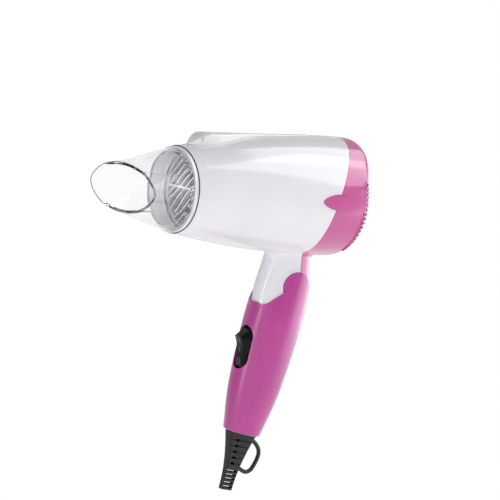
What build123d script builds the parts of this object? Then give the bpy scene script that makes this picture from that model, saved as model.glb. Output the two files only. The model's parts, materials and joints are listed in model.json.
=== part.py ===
from build123d import *
import os
from math import acos, asin, atan2, cos, degrees, hypot, pi, radians, sin, sqrt, tan

# ---------------------------------------------------------------------------
# Folding travel hair dryer.  Millimetres, +Z up, air blows towards -X.
# The origin is the middle of the hand grip, on the handle's own axis.
# ---------------------------------------------------------------------------

# Hand grip and fold hinge
GRIP_TILT = 11.5            # degrees, foot of the handle leans towards the nozzle
GRIP_TO_HINGE = 60.0        # along the handle, grip centre to hinge pin
GRIP_TO_FOOT = 35.0         # along the handle, grip centre to its lower end
HINGE_DROP = 55.1           # hinge pin below the barrel axis
HINGE_PIN_R = 2.5
HINGE_PIN_LEN = 30.4
LOBE_R = 8.9                # round top of each handle cheek
FOLD_MAX = 75.0             # degrees

# Barrel, measured along its axis from the point above the hinge pin
BARREL_FRONT = 88.5
BARREL_REAR = 31.5
BARREL_FRONT_R = 25.1
BARREL_MID_R = 34.2
BARREL_MID = 28.6
BARREL_REAR_R = 36.8
REAR_BEND = 9.5             # above this height the rear face leans back
REAR_BOW = 4.0              # half height of the curved stretch at the bend
REAR_LEAN = 0.42            # back per height
REAR_ROUND = 6.2
SHELL_WALL = 2.0

# Parting line between the white barrel and the coloured rear cover
SEAM_X = 1.5
SEAM_LOW = 24.7             # below the axis the line is straight
SEAM_ARC_R = 86.0

# Neck between barrel and handle, as half sizes of oval sections
NECK_WIDTH = 13.3           # half width across the hinge bosses
NECK_TOP_DEPTH = 15.7
NECK_LOW_DEPTH = 18.9
NECK_ROUND = 3.4
KNUCKLE_R = 14.3            # rounded end of the neck inside the handle
KNUCKLE_FRONT_R = 22.6
NECK_BOSS_R = 7.2
GROOVE_R = 9.25             # groove round the boss for the rim of a cheek
GROOVE_FLOOR = 10.6         # half width of the neck at the groove's floor

# Handle shell, as half sizes of oval sections
HANDLE_DEPTH = 18.9
HANDLE_WIDTH = 16.4
FOOT_DEPTH = 12.2
FOOT_WIDTH = 10.4
HANDLE_WALL = 1.8
FOOT_FLOOR = 2.0
RIM_DROP = 15.7             # front rim of the handle below the hinge pin
REAR_RIM_RISE = 4.5

# Rocker switch
SLOT_LEN = 27.0
SLOT_WIDTH = 13.6
SLOT_CENTRE = 16.5          # along the handle, above the grip centre
ROCKER_RISE = 4.0           # top end of the rocker above the handle surface
ROCKER_FACE = 6.2           # width of its narrow front face
ROCKER_TRAVEL = 22.0        # degrees
ROCKER_PIN_R = 1.3

# Air nozzle
NOZZLE_LEN = 35.0
MOUTH_HALF_WIDTH = 33.8
MOUTH_HALF_HEIGHT = 13.8
NOZZLE_WALL = 1.5
NOZZLE_ROOT_R = 24.4
SPIGOT_R = 22.6
SPIGOT_LEN = 7.0
RING_WIDTH = 1.7            # visible width of the swivel ring
RING_SLEEVE = 8.0           # part of the swivel ring inside the barrel

# Strain relief
RELIEF_LEN = 36.0
RELIEF_TOP_DEPTH = 11.4
RELIEF_END_DEPTH = 4.5
RELIEF_TOP_HALF = 3.0
RELIEF_END_HALF = 1.95
CORD_WIDE = 5.2             # passage for a flat twin cord
CORD_THICK = 2.6
LOOP_BAR = 2.6

# Fan, motor and heater
FAN_R = 27.6
FAN_TIP_GAP = 0.6
FAN_LEN = 13.0
FAN_BLADES = 7
MOTOR_R = 13.8
MOTOR_LEN = 24.0
SHAFT_R = 1.0
DUCT_WALL = 1.6
STATOR_VANES = 9
MICA_WALL = 0.5
HEATER_LEN = 40.0
HEATER_TURNS = 7
WIRE_R = 0.6

# Clearances
SEAM_GAP = 0.15             # between shells along a parting line
RUN_GAP = 0.05              # radial, shaft or pin in its bore
SLIP_GAP = 0.3              # between faces that pass each other

os.makedirs("parts", exist_ok=True)

FAR = 200.0                 # larger than the whole dryer

tilt = radians(GRIP_TILT)
hinge_x = GRIP_TO_HINGE * sin(tilt)
hinge_z = GRIP_TO_HINGE * cos(tilt)
axis_z = hinge_z + HINGE_DROP
BARREL_AT = Location((hinge_x, 0, axis_z))
HANDLE_AT = Location((0, 0, 0), (0, GRIP_TILT, 0))


# ---------------------------------------------------------------------------
# Helpers
# ---------------------------------------------------------------------------

def side_prism(face, half=FAR / 2):
    """Extrude a face drawn in the side view (X, Z) both ways along Y."""
    return extrude(Plane.XZ * face, amount=half, both=True)


def tube_x(r_out, r_in, x0, x1):
    """Tube along X between two places."""
    plane = Plane.YZ.offset(x0)
    ring = Circle(r_out) if r_in <= 0 else Circle(r_out) - Circle(r_in)
    return extrude(plane * ring, amount=x1 - x0)


def rod_y(r, half, x=0.0, z=0.0):
    """Round bar along Y, centred."""
    return Pos(x, 0, z) * Rot(90, 0, 0) * Cylinder(r, 2 * half)


def rod_z(r, z0, z1, x=0.0, y=0.0):
    """Round bar along Z between two heights."""
    return Pos(x, y, (z0 + z1) / 2) * Cylinder(r, abs(z1 - z0))


def box_between(lo, hi):
    """Box from its two opposite corners."""
    size = [b - a for a, b in zip(lo, hi)]
    mid = [(a + b) / 2 for a, b in zip(lo, hi)]
    return Pos(*mid) * Box(*size)


def single(shape):
    """The largest solid of a shape, as a plain part."""
    return max(shape.solids(), key=lambda s: s.volume)


def group(shapes):
    """Several separate solids in one node."""
    return Compound([s for shape in shapes for s in shape.solids()])


# ---------------------------------------------------------------------------
# Outer form of barrel and neck, in the barrel's frame
# ---------------------------------------------------------------------------

def arc_through(p, q, r):
    """Centre and radius of the circle through three points."""
    ax, ay = p
    bx, by = q
    cx, cy = r
    d = 2 * (ax * (by - cy) + bx * (cy - ay) + cx * (ay - by))
    a2 = ax * ax + ay * ay
    b2 = bx * bx + by * by
    c2 = cx * cx + cy * cy
    ux = (a2 * (by - cy) + b2 * (cy - ay) + c2 * (ay - by)) / d
    uy = (a2 * (cx - bx) + b2 * (ax - cx) + c2 * (bx - ax)) / d
    return ux, uy, hypot(ax - ux, ay - uy)


BULGE = arc_through((-BARREL_FRONT, BARREL_FRONT_R), (-BARREL_MID, BARREL_MID_R),
                    (BARREL_REAR, BARREL_REAR_R))


def barrel_radius(x, grow=0.0):
    """Outer radius of the barrel at x, moved out by grow."""
    cx, cy, r = BULGE
    return cy + sqrt((r + grow) ** 2 - (x - cx) ** 2)


def barrel_round(grow, x0, x1):
    """Solid of revolution under the barrel's outline."""
    middle = (x0 + x1) / 2
    outline = ThreePointArc((x0, barrel_radius(x0, grow)), (middle, barrel_radius(middle, grow)),
                            (x1, barrel_radius(x1, grow)))
    closing = Polyline((x1, barrel_radius(x1, grow)), (x1, 0), (x0, 0), (x0, barrel_radius(x0, grow)))
    return revolve(make_face(outline + closing), Axis.X)


def rear_limit(grow):
    """Everything in front of the rear face: upright, then leaning back at the top."""
    x = BARREL_REAR + grow
    top = BARREL_REAR_R + 4
    low = REAR_BEND - REAR_BOW
    high = REAR_BEND + REAR_BOW
    lean_x = x + REAR_LEAN * (top - REAR_BEND)
    bow = Spline((x, low), (x + REAR_LEAN * REAR_BOW, high), tangents=[(0, 1), (REAR_LEAN, 1)])
    line = Line((x + REAR_LEAN * REAR_BOW, high), (lean_x, top))
    rest = Polyline((lean_x, top), (-FAR, top), (-FAR, -FAR), (x, -FAR), (x, low))
    return side_prism(make_face(bow + line + rest))


def neck_sections():
    """Height above the hinge pin, centre offset, half depth and half width of each neck section."""
    flare = (NECK_LOW_DEPTH - NECK_TOP_DEPTH)
    return ((HINGE_DROP - BARREL_MID_R + 6, 0.2, NECK_TOP_DEPTH - 0.2, NECK_WIDTH - 0.5),
            (12.4, 0.2, NECK_TOP_DEPTH, NECK_WIDTH - 0.3),
            (2.6, -0.6, NECK_TOP_DEPTH + 0.65 * flare, NECK_WIDTH),
            (-6.2, -1.2, NECK_LOW_DEPTH, NECK_WIDTH),
            (-RIM_DROP - 8, -1.6, NECK_LOW_DEPTH, NECK_WIDTH))


def neck_round(grow):
    """Lofted oval neck."""
    faces = []
    for height, centre, depth, width in neck_sections():
        plane = Plane((centre, 0, height - HINGE_DROP))
        faces.append(plane * Ellipse(depth + grow, width + grow))
    return loft(faces)


def at_hinge(shape):
    """Turn a side-view face drawn about the hinge pin, in the handle's slant, into the barrel's frame."""
    return Pos(0, -HINGE_DROP, 0) * Rot(0, 0, -GRIP_TILT) * shape


def knuckle(grow):
    """Rounded end of the neck about the hinge pin: narrow enough to turn inside the oval handle."""
    across = KNUCKLE_R + 0.45 + grow
    along = HANDLE_WIDTH - HANDLE_WALL - 0.85 + grow
    half = Ellipse(across, along) & (Pos(across, 0) * Rectangle(2 * across, 2 * NECK_WIDTH + 2 * grow))
    ball = revolve(Plane.XY * half, Axis.Y)
    return Pos(0, 0, -HINGE_DROP) * ball & rod_y(KNUCKLE_R + grow, FAR / 2, 0, -HINGE_DROP)


def neck_zone(grow):
    """Side-view area where the neck keeps its full oval: above the handle, and the front toe."""
    above = Pos(0, REAR_RIM_RISE + SLIP_GAP + 60) * Rectangle(160, 120)
    low = -RIM_DROP - 0.5 - grow
    sector = make_face(Polyline((0, 0), (0, 6), (-40, 6), (-40, low), (0.96 * low, low), (0, 0)))
    toe = Circle(KNUCKLE_FRONT_R + grow) & sector
    return side_prism(at_hinge(above + toe))


def neck_form(grow=0.0):
    """Neck with its rounded end."""
    neck = neck_round(grow)
    return (neck & neck_zone(grow)) + (neck & knuckle(grow))


def on_barrel(edge, grow):
    """True if an edge lies on the barrel's outer surface."""
    places = (edge @ 0.1, edge @ 0.5, edge @ 0.9)
    return all(abs(hypot(p.Y, p.Z) - barrel_radius(p.X, grow)) < 0.02 for p in places)


def body_form(grow=0.0):
    """Barrel, rear face and neck as one solid."""
    barrel = barrel_round(grow, -BARREL_FRONT, BARREL_REAR + REAR_LEAN * BARREL_REAR_R)
    barrel = barrel & rear_limit(grow)
    rim = [e for e in barrel.edges() if on_barrel(e, grow) and (e @ 0.5).X > BARREL_REAR - 6]
    return fillet(rim, REAR_ROUND + grow) + neck_form(grow)


def round_neck_corner(shape):
    """Small round where the neck meets the barrel."""
    near = lambda p: hypot(p.X / (NECK_TOP_DEPTH + 2), p.Y / (NECK_WIDTH + 2)) < 1
    corner = [e for e in shape.edges()
              if on_barrel(e, 0) and (e @ 0.5).Z < -20 and near(e @ 0.1) and near(e @ 0.9)]
    return fillet(corner, NECK_ROUND)


def front_zone(shift=0.0):
    """Side-view area in front of the parting line."""
    x = SEAM_X + shift
    top = BARREL_REAR_R + 8
    rise = top + SEAM_LOW
    arc_x = lambda h: x + SEAM_ARC_R - sqrt(SEAM_ARC_R ** 2 - h ** 2)
    line = ThreePointArc((x, -SEAM_LOW), (arc_x(rise / 2), rise / 2 - SEAM_LOW), (arc_x(rise), top))
    rest = Polyline((arc_x(rise), top), (-FAR, top), (-FAR, -FAR), (x, -FAR), (x, -SEAM_LOW))
    return side_prism(make_face(line + rest))


# ---------------------------------------------------------------------------
# White barrel with the front half of the neck
# ---------------------------------------------------------------------------

RING_SEAT_R = SPIGOT_R + 0.9            # bore of the barrel's nose round the ring's sleeve
GRILLE_FACE = BARREL_FRONT - 10.5       # front of the outlet grille
GRILLE_DEPTH = 4.0
GRILLE_R = 24.0
GRILLE_FLANGE_R = 24.9
duct_r = FAN_R + FAN_TIP_GAP + DUCT_WALL
DUCT_FRONT = 26.0
DUCT_REAR = 24.0
TAB_TIP = 5.9                           # side clip, ahead of the hinge
TAB_TAIL = 10.8
TAB_HALF = 4.5
TAB_RISE = 0.6
TAB_DEEP = 1.0
TAB_Z = 0.6


def land(x0, x1, bore):
    """Ring inside the barrel, from a bore out into the shell wall."""
    return (barrel_round(-SHELL_WALL / 2, x0, x1)) - tube_x(bore, 0, x0 - 1, x1 + 1)


def tab_outline(gap=0.0):
    """Bullet-shaped outline of a side clip, in the side view."""
    nose = Spline((TAB_TAIL + gap, TAB_HALF + gap), (1.5, TAB_HALF - 0.4 + gap), (-TAB_TIP - gap, 0),
                  (1.5, -TAB_HALF + 0.4 - gap), (TAB_TAIL + gap, -TAB_HALF - gap),
                  tangents=[(-1, 0), (1, 0)])
    tail = Line((TAB_TAIL + gap, -TAB_HALF - gap), (TAB_TAIL + gap, TAB_HALF + gap))
    return Pos(0, TAB_Z) * make_face(nose + tail)


def tab_pocket():
    """Both recesses for the side clips."""
    prism = side_prism(tab_outline(SEAM_GAP))
    return prism - barrel_round(-TAB_DEEP, -TAB_TIP - 5, TAB_TAIL + 5)


def hinge_side():
    """Thick round side walls of the neck about the pin."""
    disc = rod_y(GROOVE_R + 1.5, FAR / 2, 0, -HINGE_DROP) - box_between((-FAR, -9.0, -FAR), (FAR, 9.0, FAR))
    return disc & neck_form()


def hinge_groove():
    """Groove in each side of the neck that takes the rim of a cheek."""
    ring = rod_y(GROOVE_R, FAR / 2, 0, -HINGE_DROP) - rod_y(NECK_BOSS_R, FAR / 2, 0, -HINGE_DROP)
    return ring - box_between((-FAR, -GROOVE_FLOOR, -FAR), (FAR, GROOVE_FLOOR, FAR))


def hinge_boss():
    """Cross tube of the neck that turns on the hinge pin."""
    return rod_y(HINGE_PIN_R + 2.6, NECK_WIDTH, 0, -HINGE_DROP) + [
        Pos(0, side * (NECK_WIDTH - 1.2), 0) * rod_y(NECK_BOSS_R, 1.2, 0, -HINGE_DROP)
        for side in (-1, 1)]


def white_barrel():
    """White barrel: one moulding with the front half of the neck."""
    shell = round_neck_corner(body_form() & front_zone())
    shell -= body_form(-SHELL_WALL)
    shell += land(-BARREL_FRONT, -BARREL_FRONT + RING_SLEEVE - 0.9, RING_SEAT_R)
    shell -= tube_x(RING_SEAT_R, 0, -BARREL_FRONT - 1, -BARREL_FRONT + RING_SLEEVE - 0.9)
    shell += land(-GRILLE_FACE + 0.8, -GRILLE_FACE + GRILLE_DEPTH, GRILLE_R)
    shell += land(-DUCT_FRONT + 3, -DUCT_FRONT + 6, duct_r)
    shell += hinge_side() & front_zone()
    shell -= hinge_groove()
    shell += hinge_boss()
    shell += barrel_boss() & body_form(-SHELL_WALL / 2)
    shell -= lead_exit()
    shell -= rod_y(HINGE_PIN_R + RUN_GAP, NECK_WIDTH + 1, 0, -HINGE_DROP)
    shell -= tab_pocket()
    shell -= trim_form(SEAM_GAP) - barrel_round(-TRIM_DEEP, -BARREL_FRONT, BARREL_REAR)
    for side in (-1, 1):
        shell -= Pos(0, side * BARREL_MID_R, 0) * rod_y(1.5 + RUN_GAP, 6, 0, TAB_Z)
    return single(shell)


# ---------------------------------------------------------------------------
# Raised top trim with its ion outlets
# ---------------------------------------------------------------------------

TRIM_DEEP = 1.0
TRIM_WALL = 1.2
TRIM_TOP = 34.1             # top line above the barrel axis, just behind the nose slope
TRIM_HALF = 7.2             # half width at the widest place
TRIM_WAIST = 4.2
TRIM_TAIL_HALF = 2.9
TRIM_NOSE = 82.4
TRIM_TAIL = 5.4
TRIM_PROUD = 0.35           # top of the tail above the barrel
TRIM_ROUND = 1.1
ION_SLOTS = 5
ION_PITCH = 2.7


def trim_plan(grow):
    """Teardrop outline of the trim, seen from above."""
    end = TRIM_TAIL - TRIM_TAIL_HALF
    side = ((end, TRIM_TAIL_HALF + grow), (-TRIM_NOSE + 35, TRIM_WAIST + grow),
            (-TRIM_NOSE + 17, TRIM_HALF + grow), (-TRIM_NOSE + 4, 0.66 * TRIM_HALF + grow))
    nose = ((-TRIM_NOSE - grow, 0),)
    other = tuple((x, -y) for x, y in reversed(side))
    sides = Spline(*(side + nose + other), tangents=[(-1, 0.02), (1, 0.02)])
    tail = ThreePointArc((end, -TRIM_TAIL_HALF - grow), (TRIM_TAIL + grow, 0), (end, TRIM_TAIL_HALF + grow))
    return make_face(sides + tail)


def trim_crown(grow):
    """Everything below the trim's top line, crowned about the barrel axis."""
    foot = (-TRIM_NOSE - 1, barrel_radius(-TRIM_NOSE - 1))
    behind = (-TRIM_NOSE + 11, TRIM_TOP + grow)
    nose = Spline(foot, (-TRIM_NOSE + 5.2, TRIM_TOP - 2.4 + 1.2 * grow), behind, tangents=[(1, 1), (1, 0.02)])
    tail = (TRIM_TAIL + 2, barrel_radius(TRIM_TAIL + 2) + TRIM_PROUD + grow)
    middle = (-TRIM_NOSE / 2, (TRIM_TOP + tail[1]) / 2 - 0.5 + grow)
    line = ThreePointArc(behind, middle, tail)
    closing = Polyline(tail, (tail[0], 0), (foot[0], 0), foot)
    return revolve(make_face(nose + line + closing), Axis.X)


def trim_form(grow=0.0):
    """Teardrop pod along the top of the barrel, with its sides down into the barrel."""
    prism = Pos(0, 0, barrel_radius(-TRIM_NOSE) - 4) * extrude(trim_plan(grow), 30, dir=(0, 0, 1))
    form = prism & trim_crown(grow)
    upper = [e for e in form.edges() if (e @ 0.5).Z > barrel_radius((e @ 0.5).X) + 0.1]
    return fillet(upper, TRIM_ROUND) if grow == 0 else form


def top_trim():
    """Trim piece: hollow nose with outlet slots, seated in a shallow recess."""
    trim = trim_form() - barrel_round(-TRIM_DEEP, -BARREL_FRONT, BARREL_REAR)
    room = trim_form(-TRIM_WALL) & box_between((-TRIM_NOSE, -FAR, 0), (-TRIM_NOSE + 30, FAR, FAR))
    trim -= room
    for i in range(ION_SLOTS):
        y = (i - (ION_SLOTS - 1) / 2) * ION_PITCH
        back = -TRIM_NOSE + 9.5 + 0.35 * abs(y)
        trim -= box_between((back - 5.5, y - 0.5, barrel_radius(back) + 0.6), (back, y + 0.5, FAR))
    return single(trim)


def ion_emitter():
    """Small block with its needle, standing in the hollow nose of the trim."""
    x = -TRIM_NOSE + 17
    foot = barrel_radius(x - 3, -TRIM_DEEP)
    block = box_between((x - 3, -2.5, foot - 1), (x + 4, 2.5, foot + 3.0))
    block -= barrel_round(-TRIM_DEEP, x - 6, x + 8)
    needle = Pos(x - 4.5, 0, foot + 2) * Rot(0, 90, 0) * Cylinder(0.3, 4)
    return single(block + needle)


# ---------------------------------------------------------------------------
# Rear cover with its vents and the tongue down the neck
# ---------------------------------------------------------------------------

VENT_TOP = 18.0             # degrees above the horizontal
VENT_STEP = 4.5
VENTS = 17                  # on each side
VENT_WIDTH = 1.6
VENT_RISE = 0.8             # ribs between the vents stand proud
VENT_INNER = 23.5
VENT_REACH = 5.2            # vents start this far ahead of the rear face


def vent_band():
    """Raised band round the rear corner, on one side, which the vents cut into ribs."""
    edge = barrel_radius(BARREL_REAR - REAR_ROUND)
    centre = (BARREL_REAR - REAR_ROUND, edge - REAR_ROUND)
    outer = REAR_ROUND + VENT_RISE
    inner = REAR_ROUND - SHELL_WALL / 2
    front = BARREL_REAR - VENT_REACH - centre[0]
    lift = lambda r, x: centre[1] + sqrt(r * r - x * x)
    start = (centre[0] + front, lift(outer, front))
    bend = (centre[0] + outer * cos(pi / 4), centre[1] + outer * sin(pi / 4))
    stop = (centre[0] + outer, centre[1])
    arc = ThreePointArc(start, bend, stop)
    inner_x = centre[0] + inner
    rest = Polyline(stop, (stop[0], VENT_INNER - 1), (inner_x, VENT_INNER - 1), (inner_x, centre[1]),
                    (centre[0] + front - 0.8, lift(inner, front - 0.8)), start)
    span = (VENTS - 1) * VENT_STEP + VENT_STEP
    profile = Rot(VENT_TOP + VENT_STEP / 2 - span, 0, 0) * make_face(arc + rest)
    return revolve(profile, Axis.X, revolution_arc=span)


def vent_cuts():
    """Slots through the rear corner, and two rings of slots in the rear face."""
    cuts = []
    front = BARREL_REAR - VENT_REACH
    for i in range(VENTS):
        slot = box_between((front, VENT_INNER, -VENT_WIDTH / 2), (FAR / 4, FAR / 4, VENT_WIDTH / 2))
        cuts.append(Rot(VENT_TOP - i * VENT_STEP, 0, 0) * slot)
        cuts.append(Rot(180 - VENT_TOP + i * VENT_STEP, 0, 0) * slot)
    for r0, r1, count in ((15.5, 21.5, 36), (8.0, 13.5, 18)):
        for i in range(count):
            slot = box_between((front, r0, -VENT_WIDTH / 2), (FAR / 4, r1, VENT_WIDTH / 2))
            cuts.append(Rot(i * 360 / count, 0, 0) * slot)
    return cuts


def rear_cover():
    """Coloured rear cover: vented end, and the rear half of the neck."""
    cover = round_neck_corner(body_form() - front_zone(SEAM_GAP))
    band = vent_band()
    cover += [band, mirror(band, Plane.XZ)]
    inside = body_form(-SHELL_WALL)
    cover -= inside
    cover += land(DUCT_REAR - 3, DUCT_REAR, duct_r) - front_zone(SEAM_GAP)
    cover -= vent_cuts()
    cover += hinge_side() - front_zone(SEAM_GAP)
    cover -= hinge_groove()
    cover += cover_boss() & body_form(-SHELL_WALL / 2)
    cover -= cover_boss_cut()
    cover -= hinge_clear()
    cover -= lead_exit()
    cover -= tab_pocket()
    return single(cover)


def lead_exit():
    """Opening in the rounded end of the neck where the leads pass."""
    return box_between((-9, -6, -HINGE_DROP - 30), (5, 6, -HINGE_DROP - 8))


def hinge_clear():
    """Room in the cover for the hinge bosses of the neck."""
    return rod_y(NECK_BOSS_R + SEAM_GAP, NECK_WIDTH + 1, 0, -HINGE_DROP)


def side_clips():
    """Two bullet-shaped clips that lock the rear cover to the barrel, each with its stud."""
    skin = barrel_round(TAB_RISE, -TAB_TIP - 5, TAB_TAIL + 5) - barrel_round(-TAB_DEEP, -TAB_TIP - 6, TAB_TAIL + 6)
    prism = side_prism(tab_outline())
    plates = (prism & skin).solids()
    clips = []
    for plate in plates:
        side = 1 if plate.center().Y > 0 else -1
        stud = Pos(0, side * (barrel_radius(0) - 2), 0) * rod_y(1.5, 1.4, 0, TAB_Z)
        clips.append(plate + stud)
    return group(clips)


def inlet_screen():
    """Fine dust screen behind the vents: a hoop with crossed bars."""
    x1 = BARREL_REAR - SHELL_WALL
    x0 = x1 - 1.0
    r = barrel_radius(x0) - REAR_ROUND - 0.5
    screen = tube_x(r, r - 1.6, x0, x1)
    bars = []
    for i in range(-7, 8):
        y = i * 3.8
        reach = sqrt(max((r - 0.8) ** 2 - y * y, 0))
        bars.append(box_between((x0, y - 0.3, -reach), (x0 + 0.5, y + 0.3, reach)))
        bars.append(box_between((x0 + 0.4, -reach, y - 0.3), (x0 + 0.9, reach, y + 0.3)))
    return single(screen + bars)


# ---------------------------------------------------------------------------
# Air outlet: swivel ring, concentrator nozzle, grille
# ---------------------------------------------------------------------------

RING_GROOVE = 0.4           # dark line between barrel and ring
RING_R = 24.9
SNAP_LIP = 0.45
ring_back = -BARREL_FRONT - RING_GROOVE
ring_front = ring_back - RING_WIDTH
nozzle_root = ring_front
mouth_x = nozzle_root - NOZZLE_LEN + 1.8
MOUTH_CREASE = 0.503        # where the side facets start, as a share of the half width
ROOT_CREASE = 24.0          # degrees


def swivel_ring():
    """Ring that turns in the barrel's nose and carries the nozzle."""
    sleeve_end = -BARREL_FRONT + RING_SLEEVE
    ring = tube_x(RING_R, SPIGOT_R + RUN_GAP, ring_front, ring_back)
    ring += tube_x(RING_SEAT_R - RUN_GAP, SPIGOT_R + RUN_GAP, ring_back - 0.5, sleeve_end)
    ring += tube_x(RING_SEAT_R + SNAP_LIP, SPIGOT_R + RUN_GAP, sleeve_end - 0.6, sleeve_end)
    return single(ring)


def nozzle_section(x, wall=0.0, mouth=True):
    """Outline of the nozzle at one end: flat curves above and below, a facet on each side."""
    if mouth:
        half_y = MOUTH_HALF_WIDTH - wall
        half_z = MOUTH_HALF_HEIGHT - wall
        corner = (MOUTH_CREASE * half_y, 0.847 * half_z)
        middle = (0.8 * half_y, 0.55 * half_z)
        top = half_z
    else:
        half_y = NOZZLE_ROOT_R - wall
        a = radians(ROOT_CREASE)
        corner = (half_y * cos(a), half_y * sin(a))
        middle = (half_y * cos(a / 2) - 0.4, half_y * sin(a / 2))
        top = half_y
        half_y -= 0.5
    upper = ThreePointArc(corner, (0, top), (-corner[0], corner[1]))
    lower = ThreePointArc((-corner[0], -corner[1]), (0, -top), (corner[0], -corner[1]))
    left = Spline((-corner[0], corner[1]), (-middle[0], middle[1]), (-half_y, 0),
                  (-middle[0], -middle[1]), (-corner[0], -corner[1]))
    right = Spline((corner[0], -corner[1]), (middle[0], -middle[1]), (half_y, 0),
                   (middle[0], middle[1]), corner)
    plane = Plane(origin=(x, 0, 0), x_dir=(0, 1, 0), z_dir=(1, 0, 0))
    return plane * make_face(upper + left + lower + right)


def nozzle():
    """Clear concentrator nozzle with its spigot."""
    horn = loft([nozzle_section(nozzle_root, 0, False), nozzle_section(mouth_x)], ruled=True)
    inside_root = nozzle_root - NOZZLE_WALL
    inside = loft([nozzle_section(inside_root, NOZZLE_WALL, False), nozzle_section(mouth_x - 0.01, NOZZLE_WALL)],
                  ruled=True)
    inner = SPIGOT_R - NOZZLE_WALL
    horn = horn - inside + tube_x(SPIGOT_R, inner, nozzle_root, nozzle_root + SPIGOT_LEN)
    horn -= tube_x(inner, 0, inside_root - 2, nozzle_root + SPIGOT_LEN + 1)
    return single(horn)


def front_grille():
    """Outlet grille: sleeve and flange with slanted bars and one level bar."""
    x0 = -GRILLE_FACE
    x1 = x0 + GRILLE_DEPTH
    grille = tube_x(GRILLE_R - RUN_GAP, GRILLE_R - 2, x0, x1)
    grille += tube_x(GRILLE_FLANGE_R, GRILLE_R - 2, x0, x0 + 0.8)
    reach = GRILLE_R - 1
    pitch = 3.8
    for i in range(-6, 7):
        y = i * pitch
        half = sqrt(max(reach ** 2 - y * y, 1))
        bar = box_between((x0 + 0.3, y - 0.45, -half), (x1 - 0.9, y + 0.45, half))
        grille += Rot(45, 0, 0) * bar
    grille += box_between((x0 + 0.3, -reach, -0.6), (x1 - 0.5, reach, 0.6))
    return single(grille)


# ---------------------------------------------------------------------------
# Fan, motor and their duct
# ---------------------------------------------------------------------------

MOTOR_FRONT = -25.5
MOTOR_BACK = MOTOR_FRONT + MOTOR_LEN
HUB_WALL = 1.5
COLLAR_X = -32.0            # collar of the stator that holds the mica sleeve
SLEEVE_R = 23.6
SLEEVE_BACK = -26.0
FAN_FRONT = 3.0
BEARING_R = 3.0
hub_r = MOTOR_R + RUN_GAP


def stator():
    """Fan duct with the motor seat and its vanes, one moulding."""
    duct = tube_x(duct_r, duct_r - DUCT_WALL, -DUCT_FRONT, DUCT_REAR)
    duct += tube_x(duct_r + 1.6, duct_r - DUCT_WALL, -DUCT_FRONT + 6, -DUCT_FRONT + 7.5)
    seat = tube_x(hub_r + HUB_WALL, hub_r, MOTOR_FRONT, -3)
    seat += tube_x(hub_r + HUB_WALL, MOTOR_R - 1.2, MOTOR_FRONT - 1.2, MOTOR_FRONT)
    collar = tube_x(SLEEVE_R + 1.2, SLEEVE_R + RUN_GAP, COLLAR_X, SLEEVE_BACK)
    collar += tube_x(SLEEVE_R + 1.2, SLEEVE_R - 0.9, SLEEVE_BACK, SLEEVE_BACK + 6)
    for i in range(STATOR_VANES):
        mid = (hub_r + duct_r) / 2
        vane = Pos(-14.5, 0, mid) * Rot(0, 0, 24) * Box(18, 1.2, duct_r - hub_r - 1.0)
        duct += Rot(i * 360 / STATOR_VANES, 0, 0) * vane
    return single(duct + seat + collar)


def motor_can():
    """Deep-drawn steel cup with a bearing pocket in its closed end."""
    can = tube_x(MOTOR_R, MOTOR_R - 1, MOTOR_FRONT, MOTOR_BACK)
    can += tube_x(MOTOR_R, BEARING_R, MOTOR_FRONT, MOTOR_FRONT + 1)
    can += tube_x(BEARING_R + 1, BEARING_R, MOTOR_FRONT, MOTOR_FRONT + 4)
    return single(can)


def motor_end_cap():
    """Moulded cap closing the can, with the second bearing pocket."""
    cap = tube_x(MOTOR_R, BEARING_R, MOTOR_BACK, MOTOR_BACK + 1.5)
    cap += tube_x(BEARING_R + 1.2, BEARING_R, MOTOR_BACK - 2.5, MOTOR_BACK + 1.5)
    return single(cap)


def bearings():
    """Sintered bronze bushes at both ends of the motor."""
    front = tube_x(BEARING_R, SHAFT_R + RUN_GAP, MOTOR_FRONT, MOTOR_FRONT + 4)
    back = tube_x(BEARING_R, SHAFT_R + RUN_GAP, MOTOR_BACK - 2.5, MOTOR_BACK + 1.5)
    return group([front, back])


def magnets():
    """Two curved magnets inside the can."""
    ring = tube_x(MOTOR_R - 1, MOTOR_R - 2.6, MOTOR_FRONT + 5, MOTOR_BACK - 4)
    gap = box_between((MOTOR_FRONT, -4, -FAR / 4), (MOTOR_BACK, 4, FAR / 4))
    return group([ring - gap])


def armature():
    """Three-pole laminated core with its windings, pressed on the shaft."""
    x0 = MOTOR_FRONT + 6
    x1 = MOTOR_BACK - 6
    core = tube_x(4, SHAFT_R, x0, x1)
    for i in range(3):
        pole = box_between((x0 + 1.5, -1.4, 3), (x1 - 1.5, 1.4, 10))
        shoe = tube_x(10.8, 9.4, x0 + 1.5, x1 - 1.5) & box_between((x0, -8, 0), (x1, 8, 20))
        coil = box_between((x0, -3.4, 4.5), (x1, 3.4, 9.0))
        core += Rot(i * 120, 0, 0) * (pole + shoe + coil)
    return single(core)


def commutator():
    """Copper commutator drum on the shaft."""
    x0 = MOTOR_BACK - 5.5
    drum = tube_x(2.8, SHAFT_R, x0, MOTOR_BACK - 2.9)
    for i in range(3):
        drum -= Rot(i * 120, 0, 0) * box_between((x0 - 1, -0.25, 2.3), (MOTOR_BACK, 0.25, 4))
    return single(drum)


def motor_shaft():
    """Steel shaft carrying fan and armature."""
    return tube_x(SHAFT_R, 0, MOTOR_FRONT - 1, FAN_FRONT + FAN_LEN - 2.5)


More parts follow.
